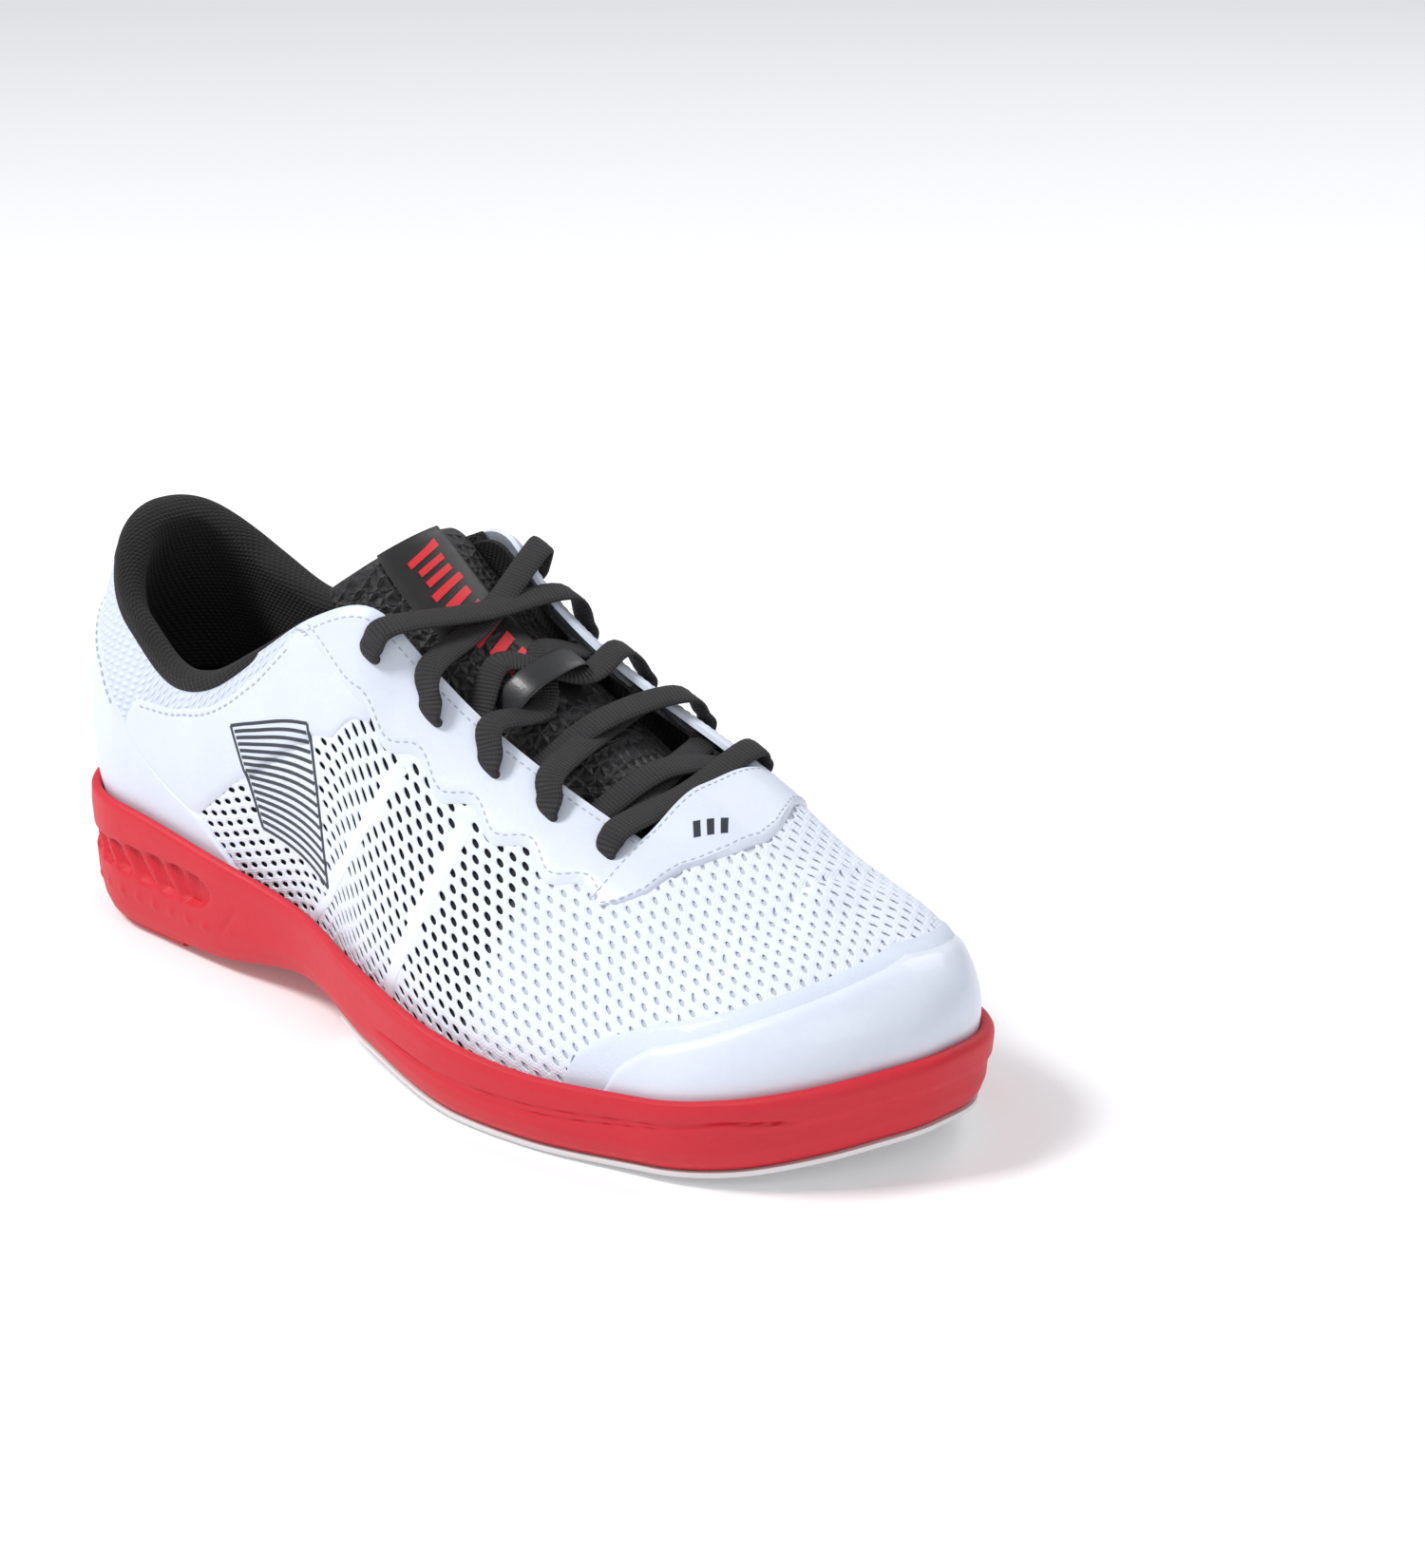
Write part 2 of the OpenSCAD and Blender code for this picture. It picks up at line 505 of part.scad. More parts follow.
// Flat tube through points of [x, y, z, width]
function along_curve(p, i, f) =
    let (a = p[max(i - 1, 0)], b = p[i], c = p[i + 1], d = p[min(i + 2, len(p) - 1)])
    0.5 * (2 * b + (c - a) * f + (2 * a - 5 * b + 4 * c - d) * f * f
        + (3 * b - a - 3 * c + d) * f * f * f);
function xyz(p) = [p[0], p[1], p[2]];
module flat_tube(p, thick, per_span = 3) {
    path = concat([for (i = [0 : len(p) - 2]) for (k = [0 : per_span - 1])
        along_curve(p, i, k / per_span)], [p[len(p) - 1]]);
    n = len(path) - 1;
    rings = [for (i = [0 : n])
        let (way = xyz(path[min(i + 1, n)] - path[max(i - 1, 0)]), t = way / norm(way))
        let (lean = [0.9, 0, -0.45], across = lean - (lean * t) * t, w = across / norm(across))
        let (up = cross(w, t)) [for (a = [0 : 45 : 315])
            xyz(path[i]) + w * (path[i][3] / 2 * cos(a)) + up * (thick / 2 * sin(a))]];
    sides = [for (i = [0 : n - 1]) for (j = [0 : 7])
        [i * 8 + j, i * 8 + (j + 1) % 8, (i + 1) * 8 + (j + 1) % 8, (i + 1) * 8 + j]];
    polyhedron(flat(rings), concat(flat([for (q = sides) quad(q[0], q[1], q[2], q[3], false)]),
        [[for (j = [7 : -1 : 0]) j]], [[for (j = [0 : 7]) n * 8 + j]]));
}

// Points of the lacing: in an eyelet, on top of the stay, under the stay, over the tongue
narrow = eyelet_bore - 1.6;
function in_eyelet(row, side, d) =
    concat(on_upper(eyelet_s(row), side, eyelet_v, d), [narrow]);
function on_stay(row, side, v, d, ahead) =
    concat(on_upper(eyelet_s(row) + ahead * u, side, v, d), [lace_w]);
function over_tongue(x, above, across = 0) =
    let (z = lookup(x, [for (i = [len(tongue_rows) - 1 : -1 : 0])
        [tongue_rows[i][1], tongue_rows[i][2]]]))
    [x, lacing_y(x) + across, z + above + tongue_roll * across, lace_w];
top_d = film_out + layer_gap / 2 + lace_t / 2;
under_d = mesh_in - layer_gap - lace_t / 2 - 0.4;
function leave_top(row, side) = [in_eyelet(row, side, mesh_in), in_eyelet(row, side, 1.9),
    on_stay(row, side, 0.9, top_d + 1.9, -1.5), on_stay(row, side, 1.01, top_d + 1.8, -4)];
function leave_under(row, side) = [on_stay(row, side, 0.9, under_d - 0.7, -2),
    on_stay(row, side, 0.99, under_d - 1.1, -5)];
function arrive_under(row, side) = [on_stay(row, side, 0.99, under_d - 1.4, 5),
    on_stay(row, side, 0.91, under_d - 0.4, 2), in_eyelet(row, side, under_d)];
function arrive_top(row, side) = [on_stay(row, side, 1.01, top_d + 2.8, 4),
    on_stay(row, side, 0.9, top_d + 1.7, 1.5), in_eyelet(row, side, 1.6),
    in_eyelet(row, side, mesh_in)];
function eyelet_x(row) = eyelet_s(row) - s_heel;
function crossing(row, above) =
    [over_tongue((eyelet_x(row) + eyelet_x(row + 1)) / 2, above + lace_t / 2)];
// The run between the third and fourth eyelets turns along the shoe to pass the keeper
function keeper_crossing(side, above) = [for (end = [-1, 1])
    over_tongue(keeper_x - end * 8 * u, above + lace_t / 2, -9 * end * side)];
keeper_x = (eyelet_x(2) + eyelet_x(3)) / 2;
module lace_run(points) { color(charcoal) flat_tube(points, lace_t); }
module lace() {
    lace_run(concat([in_eyelet(0, -1, mesh_in), in_eyelet(0, -1, 1.3),
        on_stay(0, -1, 0.9, top_d + 0.8, 0), on_stay(0, -1, 0.99, top_d + 0.8, 0)],
        [over_tongue(eyelet_x(0), 5)],
        [on_stay(0, 1, 0.99, top_d + 0.8, 0), on_stay(0, 1, 0.9, top_d + 0.8, 0),
        in_eyelet(0, 1, 1.3), in_eyelet(0, 1, mesh_in)]));
    for (side = [-1, 1]) {
        lift = side < 0 ? 0.6 : 0.6 + lace_t + 0.8;
        lace_run(concat(leave_under(0, side), crossing(0, lift), arrive_under(1, -side)));
        lace_run(concat(leave_top(1, side), crossing(1, lift), arrive_under(2, -side)));
        lace_run(concat(leave_top(2, side), keeper_crossing(side, lift), arrive_under(3, -side)));
        lace_run(concat(leave_top(3, side), crossing(3, lift), arrive_top(4, -side)));
        lace_run([for (back = [-5, -13])
            concat(on_upper(eyelet_s(4) + back * u, side, 0.8, under_d), [narrow])]);
    }
}
module aglets() {
    for (side = [-1, 1]) color(charcoal) {
        a = on_upper(eyelet_s(4) - 13.5 * u, side, 0.8, under_d - 0.3);
        b = on_upper(eyelet_s(4) - 24 * u, side, 0.8, under_d - 0.3);
        translate(a) rotate([0, acos((b - a).z / norm(b - a)), atan2((b - a).y, (b - a).x)])
            cylinder(h = norm(b - a), d = 2.6, $fn = 24);
    }
}
// Strap on the tongue that holds the crossed laces
module lace_keeper() {
    loop = [for (f = steps(-1, 1, 14))
        concat(tongue_spot(3.5, 0.57 * f, 0.9 + 8 * (1 - pow(f, 6))), [7.5])];
    color(charcoal) flat_tube(loop, 0.9, 1);
}

midsole_rear();
midsole_front();
heel_pad();
slide_sole_rear();
slide_sole_front();
shank();
insole_board();
footbed();
vamp_mesh();
vamp_lining();
vamp_backing();
collar_panel();
rear_lining();
collar_foam();
collar_lining();
heel_counter();
heel_overlay();
toe_puff();
toe_cap();
toe_cap_film();
eyestay_outer();
eyestay_inner();
eyestay_backing_outer();
eyestay_backing_inner();
throat_overlay();
quarter_film_outer();
quarter_panel_inner();
quarter_ribs_inner();
side_emblem();
throat_emblem();
tongue_cover();
tongue_foam();
tongue_lining();
tongue_flap();
tongue_flap_pad();
tongue_label();
lace_keeper();
lace();
aglets();
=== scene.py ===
"""Looks of a bowling shoe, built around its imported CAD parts.

Lengths are millimetres in the shape functions and metres in Blender. Every layer of the shoe
follows the shape that the CAD uses: s runs round the foot from the back of the heel, side is
-1 outside and 1 inside, v climbs the wall from the midsole (0) to the top line (1) and over
the roof to the lacing line (2), and d is the distance outwards.
"""

import bmesh
import bpy
import numpy as np
from mathutils import Matrix, Vector


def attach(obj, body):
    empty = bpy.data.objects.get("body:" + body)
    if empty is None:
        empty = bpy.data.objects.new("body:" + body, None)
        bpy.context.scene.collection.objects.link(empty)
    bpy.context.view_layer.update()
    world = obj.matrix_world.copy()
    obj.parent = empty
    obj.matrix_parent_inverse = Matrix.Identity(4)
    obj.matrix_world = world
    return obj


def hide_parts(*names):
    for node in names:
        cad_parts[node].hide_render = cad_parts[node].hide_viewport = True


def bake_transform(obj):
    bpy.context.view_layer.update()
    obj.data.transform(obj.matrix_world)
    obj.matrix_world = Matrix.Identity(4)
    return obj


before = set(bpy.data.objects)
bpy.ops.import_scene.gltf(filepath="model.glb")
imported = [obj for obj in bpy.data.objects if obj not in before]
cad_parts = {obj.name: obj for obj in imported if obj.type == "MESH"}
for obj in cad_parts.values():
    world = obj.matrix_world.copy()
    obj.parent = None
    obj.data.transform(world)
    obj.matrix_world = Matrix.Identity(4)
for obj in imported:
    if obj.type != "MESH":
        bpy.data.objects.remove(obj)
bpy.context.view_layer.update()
MM = 0.001
OUTER, INNER = -1, 1

# ---------------------------------------------------------------- shape of the shoe

# Sole: s, outer half width, inner half width, rim height, base height
SOLE = np.array([
    [0, 36, 36, 38.5, 2], [27, 35, 35.5, 38.5, 2], [55, 34.5, 34.5, 38.5, 2],
    [92, 36.5, 33, 34.5, 3], [129, 39.9, 29.6, 30, 9], [166, 54, 32.5, 27, 6],
    [202, 64, 39, 23, 2.2], [232, 64, 41.3, 21, 2], [264, 56.5, 39.5, 22, 3.2],
    [285, 51.5, 43, 24.5, 5], [305, 48, 47.5, 27, 7.5], [326, 47.5, 50.5, 29.5, 10],
    [346, 50, 50, 31, 11.5]], float)
# Upper: s, top line outside and inside, its radius, bulge, rise, lean out and down, ridge
UPPER = np.array([
    [0, 113, 113, 19.5, 6, 16, 13, 26, 113], [27, 108, 110, 22, 5, 16, 11, 26, 113],
    [55, 92, 97, 27, 3, 18, 7, 20, 113], [75, 80.5, 88, 30, 2, 18, 4, 16, 114],
    [92, 82.5, 90, 31, 1, 18, 4, 18, 116], [110, 94, 102, 30, 1, 24, 6, 22, 120],
    [130, 108, 117, 28, 1, 28, 9, 24, 123], [146, 112.5, 121.5, 24, 1, 27, 13, 20, 121],
    [160, 100.5, 109, 21.5, 1, 26, 14, 15, 110], [176, 88.5, 97, 21, 2, 24, 15, 12, 98.5],
    [195, 78, 86.5, 21, 2, 22, 16, 9, 87.5], [215, 69.5, 77.5, 21, 2, 19, 17, 7, 78],
    [232, 64, 70.5, 20.5, 2, 17, 17, 5.5, 72], [264, 55, 57.5, 19, 3, 17, 18, 5, 60],
    [305, 54.5, 55.5, 18, 4, 17, 18, 4, 60], [346, 54, 54, 18, 5, 17, 18, 4, 60]], float)
# Sideways offset of the lacing line
RIDGE = np.array([[0, 0], [110, 0], [150, 1], [222, 7.5], [264, 6], [346, 5]], float)
# Tongue: station, x, height, half width
TONGUE = np.array([
    [0, 176, 61.5, 14], [1, 167, 66.5, 18], [2, 149, 76, 21], [3, 131, 86, 23],
    [4, 113, 97, 24], [5, 95, 110.5, 24.5], [6, 84, 120.5, 24], [6.3, 80, 124.5, 22.5]], float)
S_HEEL, X_TOE, TOE_SHIFT = 55.0, 209.0, 12.0
S_TOE, S_END = S_HEEL + X_TOE, S_HEEL + X_TOE + 82
S_THROAT, S_QUARTER = 226.0, 121.5
TRAY, WALL_INSET = 5.0, 5.4
MESH_IN, LINING_OUT, PAD_IN = -1.3, -3.0, -7.6


def smooth(f):
    f = np.clip(f, 0, 1)
    return f * f * (3 - 2 * f)


def mix(a, b, f):
    return a * (1 - f) + b * f


def row_at(table, s):
    """Smooth curve through the table's rows, keyed by the first column."""
    key = table[:, 0]
    s = np.clip(np.asarray(s, float), key[0], key[-1])
    i = np.clip(np.searchsorted(key, s, side="right") - 1, 0, len(key) - 2)
    slope = np.zeros_like(table)
    slope[1:-1] = (table[2:] - table[:-2]) / (key[2:] - key[:-2])[:, None]
    h = (key[i + 1] - key[i])[..., None]
    f = (s[..., None] - key[i][..., None]) / h
    start = table[i] * (1 - smooth(f)) + slope[i] * h * f * (1 - f) ** 2
    end = table[i + 1] * smooth(f) - slope[i + 1] * h * f * f * (1 - f)
    return start + end


def loop(s, side):
    """Middle of the sole at s, and the direction from it to the edge."""
    s, side = np.broadcast_arrays(np.asarray(s, float), side)
    x = np.clip(s - S_HEEL, 0, X_TOE)
    heel_turn = 180 - 90 * s / S_HEEL
    toe_turn = 90 - 90 * (s - S_TOE) / (S_END - S_TOE)
    angle = np.radians(np.where(s < S_HEEL, heel_turn, np.where(s > S_TOE, toe_turn, 90)))
    centre = np.stack([x, TOE_SHIFT * smooth(x / X_TOE)], -1)
    return centre, np.stack([np.cos(angle), side * np.sin(angle)], -1)


def half_width(s, side):
    row = row_at(SOLE, s)
    return np.where(np.asarray(side) < 0, row[..., 1], row[..., 2])


def on_sole(s, side, inset, z):
    s, side, inset, z = np.broadcast_arrays(np.asarray(s, float), side, inset, z)
    r = np.maximum(half_width(s, side) - inset, 0)
    centre, way = loop(s, side)
    return np.concatenate([centre + way * r[..., None], z[..., None]], -1)


def upper(s, side, v, d=0.0, lift=0.0):
    """Point on the upper."""
    s, side, v, d, lift = np.broadcast_arrays(np.asarray(s, float), side, v, d, lift)
    a, b = row_at(SOLE, s), row_at(UPPER, s)
    width = np.where(side < 0, a[..., 1], a[..., 2])
    foot = np.stack([width - WALL_INSET, a[..., 3] - TRAY + 0.5], -1)
    edge = np.stack([b[..., 3], np.where(side < 0, b[..., 1], b[..., 2])], -1)
    lean = np.stack([b[..., 6], -b[..., 7]], -1)
    ridge = b[..., 8]
    wall = [foot, foot + b[..., 4:6], edge + lean, edge]
    roof = [edge, edge - 0.45 * lean, np.stack([0.4 * b[..., 3], ridge], -1),
            np.stack([0 * ridge, ridge], -1)]
    on_wall = (v <= 1)[..., None]
    p = [np.where(on_wall, w, r) for w, r in zip(wall, roof)]
    t = np.where(v <= 1, v, v - 1)[..., None]
    q = (p[0] * (1 - t) ** 3 + 3 * p[1] * t * (1 - t) ** 2
         + 3 * p[2] * t * t * (1 - t) + p[3] * t ** 3)
    g = (p[1] - p[0]) * (1 - t) ** 2 + 2 * (p[2] - p[1]) * t * (1 - t) + (p[3] - p[2]) * t * t
    n = np.stack([g[..., 1], -g[..., 0]], -1) / np.linalg.norm(g, axis=-1, keepdims=True)
    r = q[..., 0] + d * n[..., 0]
    centre, way = loop(s, side)
    offset = row_at(RIDGE, s)[..., 1] * smooth(np.minimum(v, 1))
    return np.stack([centre[..., 0] + way[..., 0] * r, centre[..., 1] + way[..., 1] * r + offset,
                     q[..., 1] + d * n[..., 1] + lift], -1)


def lacing_y(x):
    s = np.asarray(x, float) + S_HEEL
    return loop(s, OUTER)[0][..., 1] + row_at(RIDGE, s)[..., 1]


def tongue_spot(t, g, d):
    """Point on the tongue: t along it, g across it (-1 to 1), d above it."""
    t, g, d = np.broadcast_arrays(np.asarray(t, float), g, d)
    row = row_at(TONGUE, t)
    along = row_at(TONGUE, t + 0.05)[..., 1:3] - row_at(TONGUE, t - 0.05)[..., 1:3]
    out = np.stack([along[..., 1], -along[..., 0]], -1)
    out = out / np.linalg.norm(out, axis=-1, keepdims=True)
    h = d - 7.5 * g * g
    return np.stack([row[..., 1] + out[..., 0] * h, lacing_y(row[..., 1]) + g * row[..., 3],
                     row[..., 2] + out[..., 1] * h + 0.16 * g * row[..., 3]], -1)


def curve(points):
    """v as a function of s, through a few corner points."""
    points = np.array(points, float)
    return lambda s: np.interp(s, points[:, 0], points[:, 1])


# Edges of the panels on the outer side
heel_edge = curve([[0, 0.80], [30, 0.76], [44, 0.70], [54, 0.57], [64, 0.43], [75, 0.325],
                   [87, 0.236], [103, 0]])
film_edge = curve([[60, 0.05], [84, 0.22], [93, 0.36], [102, 0.46], [117, 0.54], [135, 0.60],
                   [142, 0.59], [148, 0.66], [154, 0.69]])
band_edge = curve([[40, 0.72], [63, 0.71], [72, 0.79], [83, 0.86], [103, 0.886], [112, 0.91],
                   [124, 0.97]])
cap_border = curve([[240, 0], [241, 0.1], [243, 0.21], [249, 0.29], [262, 0.42], [288, 0.57],
                    [322, 0.73], [346, 0.82]])
cap_edge = curve([[250, 0], [252, 0.07], [255, 0.2], [262, 0.31], [288, 0.47], [322, 0.63],
                  [346, 0.72]])


def stay_edge(s):
    """Scalloped lower edge of the eyestay, one wave to each eyelet."""
    wave = 0.028 * np.cos(2 * np.pi * (s - 222) / 18)
    return 0.69 + wave + 0.25 * smooth((150 - s) / 28)


# ---------------------------------------------------------------- materials

def new_material(name):
    mat = bpy.data.materials.new(name)
    mat.use_nodes = True
    return mat, mat.node_tree, mat.node_tree.nodes["Principled BSDF"]


def add_node(tree, kind, **values):
    """A node whose keyword values are inputs by name, or settings where it has such a one."""
    made = tree.nodes.new(kind)
    for key, value in values.items():
        if hasattr(made, key):
            setattr(made, key, value)
        else:
            made.inputs[key.replace("_", " ")].default_value = value
    return made


def math_node(tree, operation, a, b=None):
    made = tree.nodes.new("ShaderNodeMath")
    made.operation = operation
    for socket, value in zip(made.inputs, (a, b)):
        if value is None:
            continue
        if hasattr(value, "is_output"):
            tree.links.new(value, socket)
        else:
            socket.default_value = value
    return made.outputs[0]


def place(tree):
    return add_node(tree, "ShaderNodeTexCoord").outputs["Object"]


def noise(tree, size_mm, detail=3):
    made = add_node(tree, "ShaderNodeTexNoise", Scale=1 / (size_mm * MM), Detail=detail)
    tree.links.new(place(tree), made.inputs["Vector"])
    return made.outputs["Fac"]


def cells(tree, size_mm):
    made = add_node(tree, "ShaderNodeTexVoronoi", feature="DISTANCE_TO_EDGE",
                    Scale=1 / (size_mm * MM), Randomness=0.35)
    tree.links.new(place(tree), made.inputs["Vector"])
    return math_node(tree, "MULTIPLY", made.outputs["Distance"], 3)


def flat_place(tree):
    """The piece's own coordinates in millimetres: along it and across it."""
    attribute = add_node(tree, "ShaderNodeAttribute", attribute_name="flat")
    split = tree.nodes.new("ShaderNodeSeparateXYZ")
    tree.links.new(attribute.outputs["Vector"], split.inputs[0])
    return split.outputs[0], split.outputs[1]


def stripes(tree, value, period):
    turned = math_node(tree, "MULTIPLY", value, 2 * np.pi / period)
    half = math_node(tree, "MULTIPLY", math_node(tree, "SINE", turned), 0.5)
    return math_node(tree, "ADD", half, 0.5)


def knit(tree, along_mm, across_mm, slant=0.5):
    """Slanted rows of small stitches."""
    along, across = flat_place(tree)
    leaning = math_node(tree, "ADD", along, math_node(tree, "MULTIPLY", across, slant))
    return math_node(tree, "MULTIPLY", stripes(tree, leaning, along_mm),
                     stripes(tree, across, across_mm))


def ribs(tree, along_mm):
    along, across = flat_place(tree)
    wave = stripes(tree, along, along_mm)
    weave = stripes(tree, across, along_mm * 0.8)
    return math_node(tree, "ADD", wave, math_node(tree, "MULTIPLY", weave, 0.35))


def finish_material(mat, tree, shader, light, dark, pattern, relief_mm, tone, roughness,
                    sheen=0.0, coat=0.0, metallic=0.0, strength=1.0):
    """Colour runs from dark to light with the pattern and a broad tone, and relief follows."""
    ramp = add_node(tree, "ShaderNodeMix", data_type="RGBA")
    ramp.inputs["A"].default_value = (*dark, 1)
    ramp.inputs["B"].default_value = (*light, 1)
    tree.links.new(pattern, ramp.inputs["Factor"])
    cloud = noise(tree, tone)
    wear = add_node(tree, "ShaderNodeMix", data_type="RGBA", blend_type="MULTIPLY")
    shade = add_node(tree, "ShaderNodeMapRange", To_Min=0.94, To_Max=1.03)
    tree.links.new(cloud, shade.inputs["Value"])
    wear.inputs["Factor"].default_value = 1
    tree.links.new(ramp.outputs["Result"], wear.inputs["A"])
    tree.links.new(shade.outputs[0], wear.inputs["B"])
    tree.links.new(wear.outputs["Result"], shader.inputs["Base Color"])
    rough = add_node(tree, "ShaderNodeMapRange", To_Min=roughness - 0.05, To_Max=roughness + 0.07)
    tree.links.new(noise(tree, 3.0), rough.inputs["Value"])
    tree.links.new(rough.outputs[0], shader.inputs["Roughness"])
    bump = add_node(tree, "ShaderNodeBump", Strength=strength, Distance=relief_mm * MM)
    tree.links.new(pattern, bump.inputs["Height"])
    tree.links.new(bump.outputs[0], shader.inputs["Normal"])
    shader.inputs["Sheen Weight"].default_value = sheen
    shader.inputs["Sheen Roughness"].default_value = 0.5
    shader.inputs["Coat Weight"].default_value = coat
    shader.inputs["Metallic"].default_value = metallic
    return mat


def leather(name, light, roughness=0.42, grain=1.1, relief=0.05, coat=0.1):
    mat, tree, shader = new_material(name)
    dark = tuple(0.93 * c for c in light)
    return finish_material(mat, tree, shader, light, dark, noise(tree, grain, 4), relief, 14,
                           roughness, coat=coat)


def knitted(name, light, dark, along, across, relief, roughness=0.8, sheen=0.2, slant=0.5):
    mat, tree, shader = new_material(name)
    return finish_material(mat, tree, shader, light, dark, knit(tree, along, across, slant),
                           relief, 9, roughness, sheen=sheen)


def open_mesh(name, light, dark, size, relief):
    mat, tree, shader = new_material(name)
    strands = math_node(tree, "SUBTRACT", 1.0, cells(tree, size))
    fuzz = math_node(tree, "MULTIPLY", noise(tree, 0.7), 0.5)
    height = math_node(tree, "ADD", strands, fuzz)
    return finish_material(mat, tree, shader, light, dark, height, relief, 8, 0.5, sheen=0.02)


def woven(name, light, dark, rib, relief):
    mat, tree, shader = new_material(name)
    return finish_material(mat, tree, shader, light, dark, ribs(tree, rib), relief, 12, 0.72,
                           sheen=0.03)


def moulded(name, light, roughness, relief=0.04, grain=0.8, coat=0.0, metallic=0.0):
    mat, tree, shader = new_material(name)
    dark = tuple(0.9 * c for c in light)
    return finish_material(mat, tree, shader, light, dark, noise(tree, grain, 5), relief, 20,
                           roughness, coat=coat, metallic=metallic)


def backing_material():
    """Dark cloth behind the holes of the quarter, white cloth ahead of it."""
    mat, tree, shader = new_material("backing_cloth")
    attribute = add_node(tree, "ShaderNodeAttribute", attribute_name="dark")
    tint = add_node(tree, "ShaderNodeMix", data_type="RGBA")
    tint.inputs["A"].default_value = (0.56, 0.59, 0.66, 1)
    tint.inputs["B"].default_value = (0.014, 0.014, 0.017, 1)
    tree.links.new(attribute.outputs["Fac"], tint.inputs["Factor"])
    tree.links.new(tint.outputs["Result"], shader.inputs["Base Color"])
    bump = add_node(tree, "ShaderNodeBump", Strength=0.6, Distance=0.2 * MM)
    tree.links.new(noise(tree, 0.8), bump.inputs["Height"])
    tree.links.new(bump.outputs[0], shader.inputs["Normal"])
    shader.inputs["Roughness"].default_value = 0.9
    return mat


WHITE = (0.71, 0.76, 0.87)
film_white = leather("film_white", WHITE)
cap_white = leather("cap_white", (0.73, 0.78, 0.89), roughness=0.36, grain=2.0, coat=0.2)
border_white = leather("border_white", (0.67, 0.73, 0.85), roughness=0.6, grain=0.7, relief=0.12)
mesh_white = knitted("mesh_white", (0.85, 0.89, 0.97), (0.74, 0.79, 0.90), 1.05, 0.78, 0.10,
                     sheen=0.05)
band_white = knitted("band_white", (0.74, 0.79, 0.89), (0.60, 0.66, 0.78), 3.2, 2.2, 0.4,
                     sheen=0.05)
foam_red = moulded("foam_red", (0.63, 0.010, 0.025), 0.55, relief=0.06)
slide_white = moulded("slide_white", (0.80, 0.80, 0.80), 0.6, relief=0.08)
lining_black = knitted("lining_black", (0.014, 0.012, 0.014), (0.002, 0.002, 0.002), 1.7, 1.2,
                       0.30, sheen=0.04)
inside_black = knitted("inside_black", (0.012, 0.011, 0.013), (0.002, 0.002, 0.002), 1.6, 1.2,
                       0.2, sheen=0.02)
tongue_black = open_mesh("tongue_black", (0.022, 0.020, 0.022), (0.001, 0.001, 0.001), 3.0, 1.1)
label_black = moulded("label_black", (0.014, 0.012, 0.013), 0.42, relief=0.03)
label_red = moulded("label_red", (0.75, 0.02, 0.03), 0.45, relief=0.03)
keeper_black = moulded("keeper_black", (0.014, 0.014, 0.016), 0.4, relief=0.05, coat=0.1)
lace_black = woven("lace_black", (0.018, 0.016, 0.018), (0.003, 0.003, 0.003), 1.05, 0.22)
print_dark = moulded("print_dark", (0.022, 0.028, 0.042), 0.4, relief=0.02)
thread_white = moulded("thread_white", (0.47, 0.51, 0.60), 0.7, relief=0.05, grain=0.4)
# Grey for the slits of the inner quarter: painted shade of the slit openings, on beads that stand on the panel
slit_shade_grey = moulded("slit_shade_grey", (0.28, 0.29, 0.33), 0.8, relief=0.05)
board_tan = moulded("board_tan", (0.60, 0.46, 0.28), 0.8, relief=0.15, grain=1.5)
steel = moulded("steel", (0.55, 0.57, 0.60), 0.35, metallic=1.0)
backing = backing_material()
aglet_black = moulded("aglet_black", (0.02, 0.02, 0.02), 0.25, coat=0.4)


# ---------------------------------------------------------------- mesh building

def add_piece(name, points, faces, material, flat=None, sharp=35, weld=0.01):
    """A piece from points in millimetres, its close points welded and its faces turned out."""
    mesh = bpy.data.meshes.new(name)
    mesh.from_pydata((np.asarray(points).reshape(-1, 3) * MM).tolist(), [], faces)
    if flat is not None:
        layer = mesh.attributes.new("flat", "FLOAT_VECTOR", "POINT")
        values = np.zeros((len(mesh.vertices), 3), np.float32)
        values[:, :2] = np.asarray(flat).reshape(-1, 2)
        layer.data.foreach_set("vector", values.ravel())
    work = bmesh.new()
    work.from_mesh(mesh)
    bmesh.ops.remove_doubles(work, verts=work.verts, dist=weld * MM)
    bmesh.ops.dissolve_degenerate(work, edges=work.edges, dist=0.001 * MM)
    bmesh.ops.recalc_face_normals(work, faces=work.faces)
    work.to_mesh(mesh)
    work.free()
    mesh.shade_smooth()
    mesh.set_sharp_from_angle(angle=np.radians(sharp))
    mesh.materials.append(material)
    piece = bpy.data.objects.new(name, mesh)
    bpy.context.scene.collection.objects.link(piece)
    return piece


def grid_faces(n, m, start=0, closed=False):
    """Quads of a grid of n by m points, closed round its second direction if asked."""
    faces = []
    for i in range(n - 1):
        for j in range(m if closed else m - 1):
            k = (j + 1) % m
            a, b = start + i * m, start + (i + 1) * m
            faces.append((a + j, b + j, b + k, a + k))
    return faces


def shell_faces(n, m):
    """Faces of a closed shell between two grids of n by m points."""
    top = grid_faces(n, m)
    size = n * m
    bottom = [tuple(size + k for k in reversed(face)) for face in top]
    rim = [i * m for i in range(n)] + [(n - 1) * m + j for j in range(1, m)]
    rim += [i * m + m - 1 for i in range(n - 2, -1, -1)] + list(range(m - 2, 0, -1))
    walls = [(a, b, size + b, size + a) for a, b in zip(rim, rim[1:] + rim[:1])]
    return top + bottom + walls


def lengths(grid, axis):
    """Distance along a grid of points in one direction."""
    step = np.linalg.norm(np.diff(grid, axis=axis), axis=-1)
    zero = np.zeros_like(np.take(step, [0], axis=axis))
    return np.concatenate([zero, np.cumsum(step, axis=axis)], axis)


